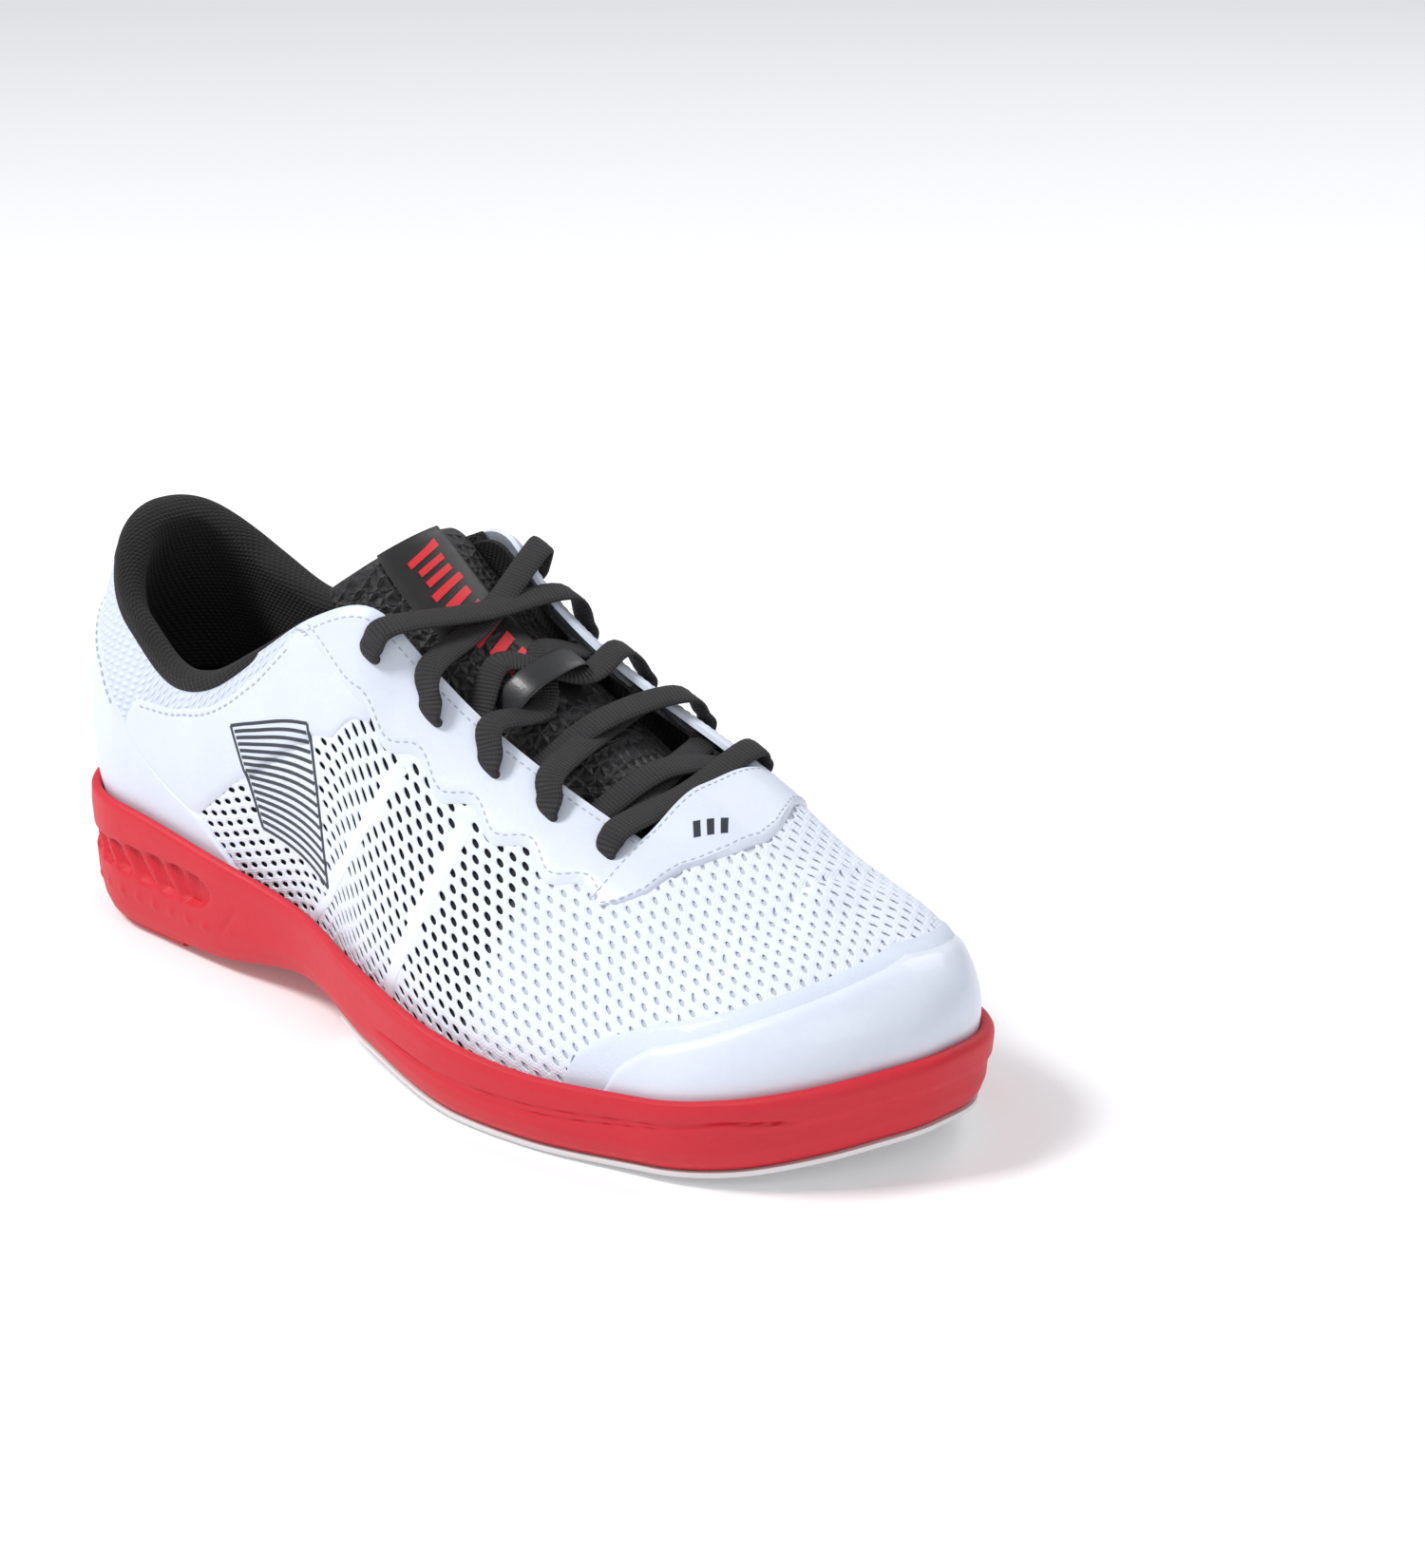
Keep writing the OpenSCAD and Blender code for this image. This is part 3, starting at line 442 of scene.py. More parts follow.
def edge_distance(grid, free=(True, True, True, True)):
    """How far each point of a grid is from the free edges: start, end, bottom and top."""
    along, across = lengths(grid, 0), lengths(grid, 1)
    far = np.full(along.shape, 1e3)
    sides = [along, along[-1:] - along, across, across[:, -1:] - across]
    for is_free, distance in zip(free, sides):
        if is_free:
            far = np.minimum(far, distance)
    return far


def flat_map(grid):
    middle = grid.shape[1] // 2
    along = np.repeat(lengths(grid, 0)[:, middle:middle + 1], grid.shape[1], 1)
    return np.stack([along, lengths(grid, 1)], -1)


def run(side, start, end, step=2.0):
    """Stations along one side of the loop."""
    s = np.linspace(start, end, max(int(abs(end - start) / step), 2) + 1)
    return s, np.full(len(s), side)


def round_end(start, end, step=2.0):
    """Stations from start on the outer side round to start on the inner side, past end."""
    s, side = run(OUTER, start, end, step)
    return np.concatenate([s, s[-2::-1]]), np.concatenate([side, -side[-2::-1]])


def layer(name, stations, low, high, material, base=0.0, thick=0.8, rows=12, ramp=1.2,
          free=(True, True, True, True), sink=0.35):
    """A bonded panel: stations of (s, side), v from low to high, edges that ramp down."""
    s, side = stations
    g = np.linspace(0, 1, rows + 1)[None, :]
    v = mix(np.broadcast_to(low, s.shape)[:, None], np.broadcast_to(high, s.shape)[:, None], g)
    s, side = s[:, None], side[:, None]
    flat_grid = upper(s, side, v)
    rise = np.sqrt(smooth(edge_distance(flat_grid, free) / ramp))
    top = upper(s, side, v, base + thick * rise)
    bottom = upper(s, side, v, base - sink)
    flat = flat_map(flat_grid)
    points = np.concatenate([top.reshape(-1, 3), bottom.reshape(-1, 3)])
    flats = np.concatenate([flat.reshape(-1, 2)] * 2)
    return add_piece(name, points, shell_faces(*top.shape[:2]), material, flats)


def resample(path, pitch):
    """Evenly spaced points along a path, with the direction at each."""
    dist = np.concatenate([[0], np.cumsum(np.linalg.norm(np.diff(path, axis=0), axis=1))])
    count = max(int(dist[-1] / pitch), 1)
    at = (np.arange(count) + 0.5) * dist[-1] / count
    points = np.stack([np.interp(at, dist, path[:, k]) for k in range(3)], -1)
    ahead = np.stack([np.interp(at + 0.3, dist, path[:, k]) for k in range(3)], -1)
    behind = np.stack([np.interp(at - 0.3, dist, path[:, k]) for k in range(3)], -1)
    way = ahead - behind
    return points, way / np.linalg.norm(way, axis=1, keepdims=True)


BEAD_RINGS = ((-1.0, 0.15), (-0.75, 0.8), (0.0, 1.0), (0.75, 0.8), (1.0, 0.15))


def bead_row(paths, pitch, length, radius, squash=0.6):
    """Points and faces of short rounded beads along the paths. Each path is (points, outs)."""
    points, faces = [], []
    for path, outs in paths:
        centres, ways = resample(path, pitch)
        out_at, _ = resample(outs, 1e-9) if outs is None else (outs, None)
        for centre, way in zip(centres, ways):
            near = np.argmin(np.linalg.norm(path - centre, axis=1))
            out = out_at[near] - way * (out_at[near] @ way)
            out = out / np.linalg.norm(out)
            across = np.cross(out, way)
            start = len(points)
            for along, size in BEAD_RINGS:
                for a in np.arange(6) * np.pi / 3:
                    points.append(centre + way * along * length / 2
                                  + across * radius * size * np.cos(a)
                                  + out * radius * squash * size * np.sin(a))
            faces += grid_faces(len(BEAD_RINGS), 6, start, closed=True)
            faces.append(tuple(start + k for k in range(5, -1, -1)))
            faces.append(tuple(start + (len(BEAD_RINGS) - 1) * 6 + k for k in range(6)))
    return points, faces


def on_surface(s, side, v, d):
    """A path on the upper with the outward direction at each point."""
    s, v = np.broadcast_arrays(np.asarray(s, float), v)
    path = upper(s, side, v, d)
    return path, upper(s, side, v, d + 1.0) - path


def stitches(name, paths, pitch=2.6, length=1.7, radius=0.32):
    points, faces = bead_row(paths, pitch, length, radius)
    return add_piece(name, points, faces, thread_white, weld=0.0001)


def tube(points, widths, area, lean=(0.83, 0.0, -0.3), per_span=8, sides=16):
    """Flat tube through points, thicker where it is narrower; with distances along and round."""
    points, widths = np.asarray(points, float), np.asarray(widths, float)
    both = np.concatenate([points, widths[:, None]], 1)
    padded = np.concatenate([both[:1], both, both[-1:]])
    path = []
    for i in range(len(both) - 1):
        a, b, c, d = padded[i:i + 4]
        for f in np.arange(per_span) / per_span:
            path.append(0.5 * (2 * b + (c - a) * f + (2 * a - 5 * b + 4 * c - d) * f * f
                               + (3 * b - a - 3 * c + d) * f ** 3))
    path = np.array(path + [both[-1]])
    way = np.gradient(path[:, :3], axis=0)
    way /= np.linalg.norm(way, axis=1, keepdims=True)
    lean = np.asarray(lean)
    across = lean - way * (way @ lean)[:, None]
    across /= np.linalg.norm(across, axis=1, keepdims=True)
    out = np.cross(across, way)
    turn = np.arange(sides) * 2 * np.pi / sides
    wide = np.sign(np.cos(turn)) * np.abs(np.cos(turn)) ** 0.7
    rings = (path[:, None, :3] + across[:, None] * (path[:, 3] / 2)[:, None, None] * wide[:, None]
             + out[:, None] * (area / 2 / path[:, 3])[:, None, None] * np.sin(turn)[:, None])
    along = np.concatenate([[0], np.cumsum(np.linalg.norm(np.diff(path[:, :3], axis=0), axis=1))])
    flat = np.stack(np.broadcast_arrays(along[:, None], path[:, 3:] / 2 * wide), -1)
    return rings, flat


def tube_faces(rings, start):
    n, m = rings.shape[:2]
    ends = [tuple(start + k for k in range(m - 1, -1, -1)),
            tuple(start + (n - 1) * m + k for k in range(m))]
    return grid_faces(n, m, start, closed=True) + ends


def crosses_flex(piece, *nodes):
    """A piece with its placement baked into its points, the CAD parts that it replaces hidden."""
    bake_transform(piece)
    if nodes:
        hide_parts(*nodes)


def stays_on(piece, body, *nodes):
    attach(piece, body)
    if nodes:
        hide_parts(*nodes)


def subdivide(piece, levels=1):
    modifier = piece.modifiers.new("subdivision", "SUBSURF")
    modifier.levels = levels
    modifier.render_levels = levels


def puff(piece, pinned, cap_mm, pressure=4.0, frames=20):
    """Inflates a closed padded piece as cloth. Pinned points stay, none moves past the cap."""
    rest = np.array([v.co for v in piece.data.vertices])
    pins = piece.vertex_groups.new(name="pins")
    pins.add([int(i) for i in np.flatnonzero(pinned(rest / MM))], 1.0, "REPLACE")
    cloth = piece.modifiers.new("cloth", "CLOTH")
    cloth.settings.vertex_group_mass = "pins"
    cloth.settings.use_pressure = True
    cloth.settings.uniform_pressure_force = pressure
    cloth.settings.effector_weights.gravity = 0
    cloth.settings.mass = 0.15
    cloth.settings.quality = 5
    scene = bpy.context.scene
    for number in range(1, frames + 1):
        scene.frame_set(number)
    shaped = piece.evaluated_get(bpy.context.evaluated_depsgraph_get()).to_mesh()
    moved = np.array([v.co for v in shaped.vertices]) - rest
    far = np.linalg.norm(moved, axis=1, keepdims=True)
    moved *= np.minimum(1, cap_mm * MM / np.maximum(far, 1e-9))
    piece.modifiers.remove(cloth)
    piece.vertex_groups.remove(pins)
    scene.frame_set(1)
    piece.data.vertices.foreach_set("co", (rest + moved).astype(np.float32).ravel())
    piece.data.update()


# ---------------------------------------------------------------- sole

def pocket(s, t, z):
    """Depth of the ribbed pocket on the heel wall."""
    middle = mix(23.5, 22.5, smooth(s / 92))
    half = mix(2.6, 5.2, smooth(s / 80))
    end = 94 - 7 * np.clip((z - middle) / half, -1, 1) ** 2
    inside = smooth((half - abs(z - middle)) / 0.9) * smooth((end - s) / 2) * smooth((s - 6) / 6)
    rib = smooth(np.cos(2 * np.pi * (s + 0.7 * (z - middle)) / 9.5) * 0.9 + 0.35)
    return -inside * (2.4 - 1.7 * rib * smooth((86 - s) / 3))


def wall_relief(s, side, t, z):
    """Moulded detail on the midsole wall: t is the fraction of its height."""
    depth = pocket(s, t, z)
    tick = smooth(np.cos(2 * np.pi * s / 7.5) * 3 - 1.6) * smooth(1 - abs(z - 12.5) / 2.2)
    depth += 0.5 * tick * smooth((98 - s) / 4) * smooth((s - 30) / 6)
    corner = abs(t - mix(0.23, 0.61, (s - 95) / 10)) * smooth(1 - abs(s - 100) / 6.5)
    depth -= 0.6 * smooth(1 - corner / 0.05) * smooth(1 - abs(s - 100) / 5.5)
    for drop in (0.0, 0.10):
        line = np.interp(s, [174, 210, 251, 285, 308], [0.45, 0.54, 0.64, 0.73, 0.60]) - drop
        line += drop * smooth(abs(s - 240) / 60)
        depth -= 0.45 * smooth(1 - abs(t - line) / 0.035) * smooth((306 - s) / 8) * smooth((s - 174) / 8)
    toe = smooth((s - 275) / 40)
    depth += toe * (0.8 * smooth((t - 0.52) / 0.12) * smooth((1.0 - t) / 0.1) - 0.3)
    return depth


def build_midsole():
    s, side = round_end(0, S_END, 1.0)
    low = np.maximum(row_at(SOLE, s)[:, 4], 2.0)[:, None]
    top = row_at(SOLE, s)[:, 3][:, None]
    height = top - low
    t = np.linspace(0.02, 0.97, 34)[None, :]
    wall_z = low + t * height
    profile = np.interp(t, [0, 0.12, 0.3, 0.55, 0.85, 1], [4, 2.2, 1, 0.6, 0, 0.3])
    s2, side2 = s[:, None], side[:, None]
    inset = profile - wall_relief(s2, side2, t, wall_z)
    width = half_width(s, side)[:, None]
    first = np.concatenate([width, width * 0.5, 0 * width + 7, 0 * width + 5.2], 1)
    first_z = np.concatenate([low, low, low, low + 0.05], 1)
    last = np.array([[0.5, 1.1, 2.2, 2.8, 3.2, 3.4]]) + 0 * width
    last_z = top + np.array([[-0.5, 0.0, 0.0, -0.4, -1.2, -TRAY]])
    floor = np.concatenate([width * 0.5, width], 1)
    floor_z = np.concatenate([top - TRAY, top - TRAY], 1)
    insets = np.concatenate([first, inset, last, floor], 1)
    heights = np.concatenate([first_z, wall_z, last_z, floor_z], 1)
    grid = on_sole(s2, side2, insets, heights)
    piece = add_piece("midsole", grid, grid_faces(*grid.shape[:2]), foam_red, sharp=60)
    crosses_flex(piece, "midsole_rear", "midsole_front")


def sole_layer(name, start, half, material, step=2.0):
    """A flat layer across the sole, from half profiles of (inset, height) arrays."""
    if start > 0:
        s, side = round_end(start, S_END, step)
    else:
        s, side = round_end(0, S_END, step)
    profile = half(s[:, None], half_width(s, side)[:, None])
    insets = np.concatenate([np.broadcast_to(p[0], (len(s), 1)) for p in profile], 1)
    heights = np.concatenate([np.broadcast_to(p[1], (len(s), 1)) for p in profile], 1)
    grid = on_sole(s[:, None], side[:, None], insets, heights)
    flat = flat_map(grid)
    faces = grid_faces(*grid.shape[:2])
    if start > 0:
        n, m = grid.shape[:2]
        faces.append(tuple(range(m)) + tuple((n - 1) * m + j for j in range(m - 2, 0, -1)))
    return add_piece(name, grid, faces, material, flat, sharp=50)


def build_slide_sole():
    def half(s, width):
        z = np.maximum(row_at(SOLE, s)[..., 4], 2.0) - 0.2
        return [(width, z - 1.8), (width * 0.5, z - 1.8), (4.4 + 0 * z, z - 1.8),
                (3.7 + 0 * z, z - 1.6), (3.2 + 0 * z, z - 1.0), (3.2 + 0 * z, z),
                (width * 0.5, z), (width, z)]
    piece = sole_layer("slide_sole", 152, half, slide_white)
    crosses_flex(piece, "slide_sole_rear", "slide_sole_front")


def build_inside_layers():
    inset = WALL_INSET + 4.8

    def board(s, width):
        z = row_at(SOLE, s)[..., 3] - TRAY + 0.3
        return [(width, z), (inset + 0 * z, z), (inset + 0 * z, z + 1.6), (width, z + 1.6)]

    def bed(s, width):
        z = row_at(SOLE, s)[..., 3] - TRAY + 2.3
        return [(width, z), (inset + 0 * z, z), (inset + 1.8 + 0 * z, z + 5.5),
                (inset + 3 + 0 * z, z + 5.5), (inset + 6 + 0 * z, z + 3.8),
                (inset + 12 + 0 * z, z + 3.4), (width, z + 3.5)]
    piece = sole_layer("insole_board_sheet", 0, board, board_tan)
    crosses_flex(piece, "insole_board")
    piece = sole_layer("footbed_pad", 0, bed, inside_black)
    crosses_flex(piece, "footbed")


# ---------------------------------------------------------------- perforated front

def front_plan():
    """Tables over a flat plan of the front: x along it, b across it from the lacing line."""
    xs = np.arange(24.0, 246.0, 1.0)
    bs = np.arange(0.0, 130.0, 1.0)
    spots = {}
    for side in (OUTER, INNER):
        table = np.zeros((len(xs), len(bs), 2))
        for i, x in enumerate(xs):
            top = 2.0
            if x > X_TOE:
                low, high = 0.4, 2.0
                for _ in range(24):
                    top = (low + high) / 2
                    beyond = upper(S_END, side, top)[0] > x
                    low, high = (top, high) if beyond else (low, top)
            v = np.linspace(top, 0, 90)
            s = np.full(90, x + S_HEEL)
            if x > X_TOE:
                near, far = np.full(90, S_TOE), np.full(90, S_END)
                for _ in range(20):
                    s = (near + far) / 2
                    short = upper(s, side, v)[:, 0] < x
                    near, far = np.where(short, s, near), np.where(short, far, s)
            arc = lengths(upper(s, side, v)[:, None], 0)[:, 0]
            table[i, :, 0] = np.interp(bs, arc, s)
            table[i, :, 1] = np.interp(bs, arc, v)
        spots[side] = table
    return xs, bs, spots


PLAN_X, PLAN_B, PLAN = front_plan()


def plan_spot(x, b):
    """s, v and side of plan points."""
    side = np.where(b < 0, OUTER, INNER)
    fx = np.clip(x - PLAN_X[0], 0, len(PLAN_X) - 1.001)
    fb = np.clip(abs(b), 0, len(PLAN_B) - 1.001)
    i, j = fx.astype(int), fb.astype(int)
    f, g = (fx - i)[..., None], (fb - j)[..., None]
    result = np.zeros(x.shape + (2,))
    for one in (OUTER, INNER):
        t = PLAN[one]
        value = mix(mix(t[i, j], t[i + 1, j], f), mix(t[i, j + 1], t[i + 1, j + 1], f), g)
        result = np.where((side == one)[..., None], value, result)
    return result[..., 0], result[..., 1], side


def plan_point(x, b, d):
    s, v, side = plan_spot(x, b)
    return upper(s, side, v, d)


def in_mesh(x, b, grow):
    """Whether the plan point lies where the perforated cloth shows, or grow under its edges."""
    s, v, side = plan_spot(x, b)
    ahead = v > cap_border(s) - grow * 1.5
    ahead |= s < 238
    outer = (s > 84) & (v > heel_edge(s) - grow) & ((s > 90) | (v > 0.1))
    outer &= np.where(s < 152, v < film_edge(s) + grow, v < stay_edge(s) + grow)
    overlay = (s > 226) & (v >= 0.6)
    front = (s > 226) & ((v < throat_line(s) + grow) | (s > 250))
    outer = (outer & (s < 226)) | front
    inner = (s > 206) & ((v < 0.70 + grow) & (s < 226)) | (front & (s > 206))
    return ahead & np.where(side == OUTER, outer, inner) & (v > 0.005) & (~overlay | front)


def throat_line(s):
    """v of the throat overlay's front edge."""
    return np.interp(s, [222, 229, 233, 237, 242, 246, 249],
                     [0.69, 0.69, 0.73, 0.81, 1.2, 1.6, 2.01])


CELL_X, CELL_B = 4.2, 3.2
SLANT = np.radians(24)
HOLE_TURNS = np.arange(8) * np.pi / 4
AROUND = [(0, 1), (0, 0), (1, 0), (2, 0), (2, 1), (2, 2), (1, 2), (0, 2)]


def build_mesh_skin():
    """Perforated cloth: a brick pattern of cells, each with a slanted oval hole."""
    keys, points, faces = {}, [], []

    def corner(i, j):
        if (i, j) not in keys:
            keys[i, j] = len(points)
            points.append((i * CELL_X / 2, j * CELL_B / 2))
        return keys[i, j]

    for row in range(-40, 41):
        for column in range(5, 62):
            left = 2 * column + row % 2
            x, b = (left + 1) * CELL_X / 2, (2 * row + 1) * CELL_B / 2
            if not in_mesh(np.array(x), np.array(b), 0.045):
                continue
            way = 1 if b > 0 else -1
            long_r, short_r = (1.45, 0.72) if x < 155 else (1.22, 0.44)
            border = [corner(left + i, 2 * row + j) for i, j in AROUND]
            ring = len(points)
            for turn in HOLE_TURNS:
                angle = turn + np.pi
                a, c = long_r * np.cos(angle), short_r * np.sin(angle)
                points.append((x + a * np.cos(SLANT) - c * np.sin(SLANT) * way,
                               b + way * a * np.sin(SLANT) + c * np.cos(SLANT)))
            s, v, _ = plan_spot(np.array(x), np.array(b))
            f, g = mark_place(s, v)
            marked = b < 0 and -0.04 < f < 1.04 and -0.03 < g < 1.03
            closed = marked or x < 155 and (abs(x - strip_x(v, 0)) < 2.0 or abs(x - strip_x(v, 1)) < 1.7)
            for k in range(8):
                n = (k + 1) % 8
                faces.append((border[k], border[n], ring + n, ring + k))
            if closed:
                faces.append(tuple(ring + k for k in range(8)))
    plan = np.array(points)
    solid = plan_point(plan[:, 0], plan[:, 1], 0.0)
    piece = add_piece("perforated_mesh", solid, faces, mesh_white, plan)
    thickness = piece.modifiers.new("thickness", "SOLIDIFY")
    thickness.thickness = 0.6 * MM
    thickness.offset = -1
    subdivide(piece)
    crosses_flex(piece, "vamp_mesh")


def mark_spot(f, g):
    """s and v of a place on the printed mark: f along it and g up it, 0 to 1."""
    return 103 + 30 * f + 10 * (1 - g), 0.27 + 0.47 * g - 0.10 * f


def mark_place(s, v):
    """f and g of a place on the upper, the inverse of mark_spot."""
    g = (v - 0.27 + 0.10 * (s - 113) / 30) / (0.47 - 1.0 / 30)
    return (s - 103 - 10 * (1 - g)) / 30, g


def strip_x(v, which):
    """x of the bonded strips that cross the perforated quarter."""
    if which == 0:
        return np.interp(v, [0.056, 0.176, 0.365, 0.49, 0.66], [122, 126, 130, 131.6, 132])
    return np.interp(v, [0.024, 0.136, 0.30, 0.48, 0.665], [78, 88, 97.5, 105, 110])


def build_strips():
    """Thin tapes bonded across the perforated quarter."""
    points, faces = [], []
    for which, width in ((0, 2.1), (1, 1.8)):
        v = np.linspace(0.02, 0.66, 36)[:, None]
        across = np.linspace(-1, 1, 5)[None, :]
        s = S_HEEL + strip_x(v, which) + width * across
        top = upper(s, OUTER, v, 0.05 + 0.14 * (1 - across ** 4))
        under = upper(s, OUTER, v, -0.15)
        start = len(points)
        points += list(top.reshape(-1, 3)) + list(under.reshape(-1, 3))
        faces += [tuple(start + i for i in face) for face in shell_faces(36, 5)]
    piece = add_piece("quarter_tapes", np.array(points), faces, mesh_white, weld=0.0001)
    crosses_flex(piece)


def build_mesh_backing():
    """Cloth behind the holes."""
    x, b = np.meshgrid(np.arange(26.0, 244.0, 2.0), np.arange(-124.0, 125.0, 2.0), indexing="ij")
    points = plan_point(x, b, np.where(x < 157, -1.2, -0.85))
    keep = in_mesh(x, b, 0.16)
    n, m = x.shape
    faces = []
    for i in range(n - 1):
        for j in range(m - 1):
            if keep[i, j] or keep[i + 1, j] or keep[i, j + 1] or keep[i + 1, j + 1]:
                a = i * m + j
                faces.append((a, a + m, a + m + 1, a + 1))
    mesh = bpy.data.meshes.new("mesh_backing")
    mesh.from_pydata((points.reshape(-1, 3) * MM).tolist(), [], faces)
    dark = mesh.attributes.new("dark", "FLOAT", "POINT")
    dark.data.foreach_set("value", smooth((157 - x) / 4).astype(np.float32).ravel())
    work = bmesh.new()
    work.from_mesh(mesh)
    bmesh.ops.delete(work, geom=[p for p in work.verts if not p.link_faces], context="VERTS")
    bmesh.ops.remove_doubles(work, verts=work.verts, dist=0.01 * MM)
    bmesh.ops.recalc_face_normals(work, faces=work.faces)
    work.to_mesh(mesh)
    work.free()
    mesh.shade_smooth()
    mesh.materials.append(backing)
    piece = bpy.data.objects.new("mesh_backing", mesh)
    bpy.context.scene.collection.objects.link(piece)
    thickness = piece.modifiers.new("thickness", "SOLIDIFY")
    thickness.thickness = 0.4 * MM
    thickness.offset = 0
    crosses_flex(piece, "vamp_backing")


# ---------------------------------------------------------------- panels of the upper

def build_rear():
    stations = round_end(S_QUARTER + 6, 0)
    s, side = stations
    outer_low = np.where(s > 84, film_edge(s) + 0.05, 0.27 * smooth((s - 62) / 22))
    low = np.where(side == OUTER, outer_low, 0.0)
    piece = layer("rear_panel", stations, low, 1.0, band_white, 0.0, 0.05, rows=20,
                  free=(True, True, True, False), sink=1.3)
    stays_on(piece, "shoe", "collar_panel")

    s, side = stations = round_end(103, 0, 1.5)
    edge = np.where(side == OUTER, heel_edge(s), heel_edge(s * 0.98))
    piece = layer("heel_overlay_film", stations, 0.0, np.maximum(edge, 0.004), film_white,
                  0.05, 0.95, rows=16, free=(True, True, False, True))
    stays_on(piece, "shoe", "heel_overlay")

    s, side = stations = run(OUTER, 58, 153, 1.5)
    low = np.maximum(film_edge(s), heel_edge(s) - 0.05)
    high = np.where(s < 124, band_edge(s), 0.97 - 0.25 * smooth((s - 124) / 26))
    high = np.minimum(high, heel_edge(s) + 0.045 * (s - 57))
    piece = layer("quarter_film", stations, low, np.maximum(high, low + 0.02), film_white,
                  0.05, 0.55, rows=14)
    stays_on(piece, "shoe", "quarter_film_outer")

    paths = [on_surface(s[4:44], OUTER, band_edge(s[4:44]) - 0.035, 0.62)]
    arc = np.linspace(0, 52, 40)
    paths += [on_surface(arc, one, heel_edge(arc) - 0.03, 1.0) for one in (OUTER, INNER)]
    thread = stitches("rear_stitches", paths)
    stays_on(thread, "shoe")


def build_inner_quarter():
    s, side = stations = run(INNER, 62, 214, 1.5)
    high = np.where(s < 124, band_edge(s), 0.97 - 0.25 * smooth((s - 124) / 26))
    low = np.maximum(heel_edge(s * 0.98) - 0.05, 0.0)
    high = np.minimum(high, heel_edge(s) + 0.045 * (s - 60))
    piece = layer("inner_quarter_panel", stations, low, np.maximum(high, low + 0.02), film_white,
                  -0.9, 1.6, rows=16, sink=0.2)
    crosses_flex(piece, "quarter_panel_inner")

    points, faces = [], []
    thread = []
    for k in range(3):
        foot, head = 118 + 27 * k, 141 + 27 * k
        g = np.linspace(0.05, 0.66, 30)
        for across in (0.0, 8.5):
            middle = mix(foot, head, g / 0.66) + across
            path, outs = on_surface(middle, INNER, g, 0.75)
            more, quads = bead_row([(path, outs)], 0.8, 1.3, 0.75, 0.8)
            faces += [tuple(len(points) + i for i in face) for face in quads]
            points += more
        for rung in np.linspace(0.08, 0.62, 15):
            middle = mix(foot, head, rung / 0.66)
            thread.append(on_surface(np.linspace(middle + 1.5, middle + 7, 5), INNER, rung, 0.75))
    piece = add_piece("inner_ribs", points, faces, film_white, weld=0.0001)
    crosses_flex(piece, "quarter_ribs_inner")
    ladder = stitches("inner_rib_stitches", thread, pitch=2.4, length=2.0, radius=0.3)
    crosses_flex(ladder)

    # Slits of the inner quarter: grey beads on the panel, painted shade where open slits would be
    paths = []
    for k in range(4):
        for row in range(8):
            for column in range(2):
                v = 0.09 + 0.075 * row + 0.035 * column
                middle = 104.5 + 27 * k + 23 * v / 0.66 + 8.5 * column
                paths.append(on_surface([middle - 2.3, middle + 2.3], INNER, [v + 0.02, v - 0.02],
                                        0.72))
    points, faces = bead_row(paths, 9, 5.2, 0.75, 0.25)
    piece = add_piece("inner_slit_shades", points, faces, slit_shade_grey, weld=0.0001)
    crosses_flex(piece)


def build_eyestay(side, name):
    s, sides = stations = run(side, 124, 226.3, 0.75)
    low = stay_edge(s)
    low = np.where(s < 150, np.maximum(low, 0.99 - 0.27 * smooth((s - 122) / 26)), low)
    piece = layer("eyestay_" + name + "_film", stations, low, 0.995, film_white, 0.1, 0.95, rows=10,
                  free=(True, False, True, True), ramp=0.9)
    crosses_flex(piece, "eyestay_" + name)
    s_back, _ = back = run(side, 124, 226, 2.0)
    piece = layer("eyestay_" + name + "_backing", back, np.maximum(0.78, np.interp(
        s_back, [124, 150], [0.99, 0.78])), 1.0, film_white, 0.0, 0.05, rows=5, sink=1.3)
    crosses_flex(piece, "eyestay_backing_" + name)
    edge = low + 0.035
    paths = [on_surface(s[6:], side, edge[6:], 1.03), on_surface(s[4:], side, 0.955, 1.03)]
    thread = stitches("eyestay_" + name + "_stitches", paths, pitch=2.3, length=1.5, radius=0.28)
    crosses_flex(thread)


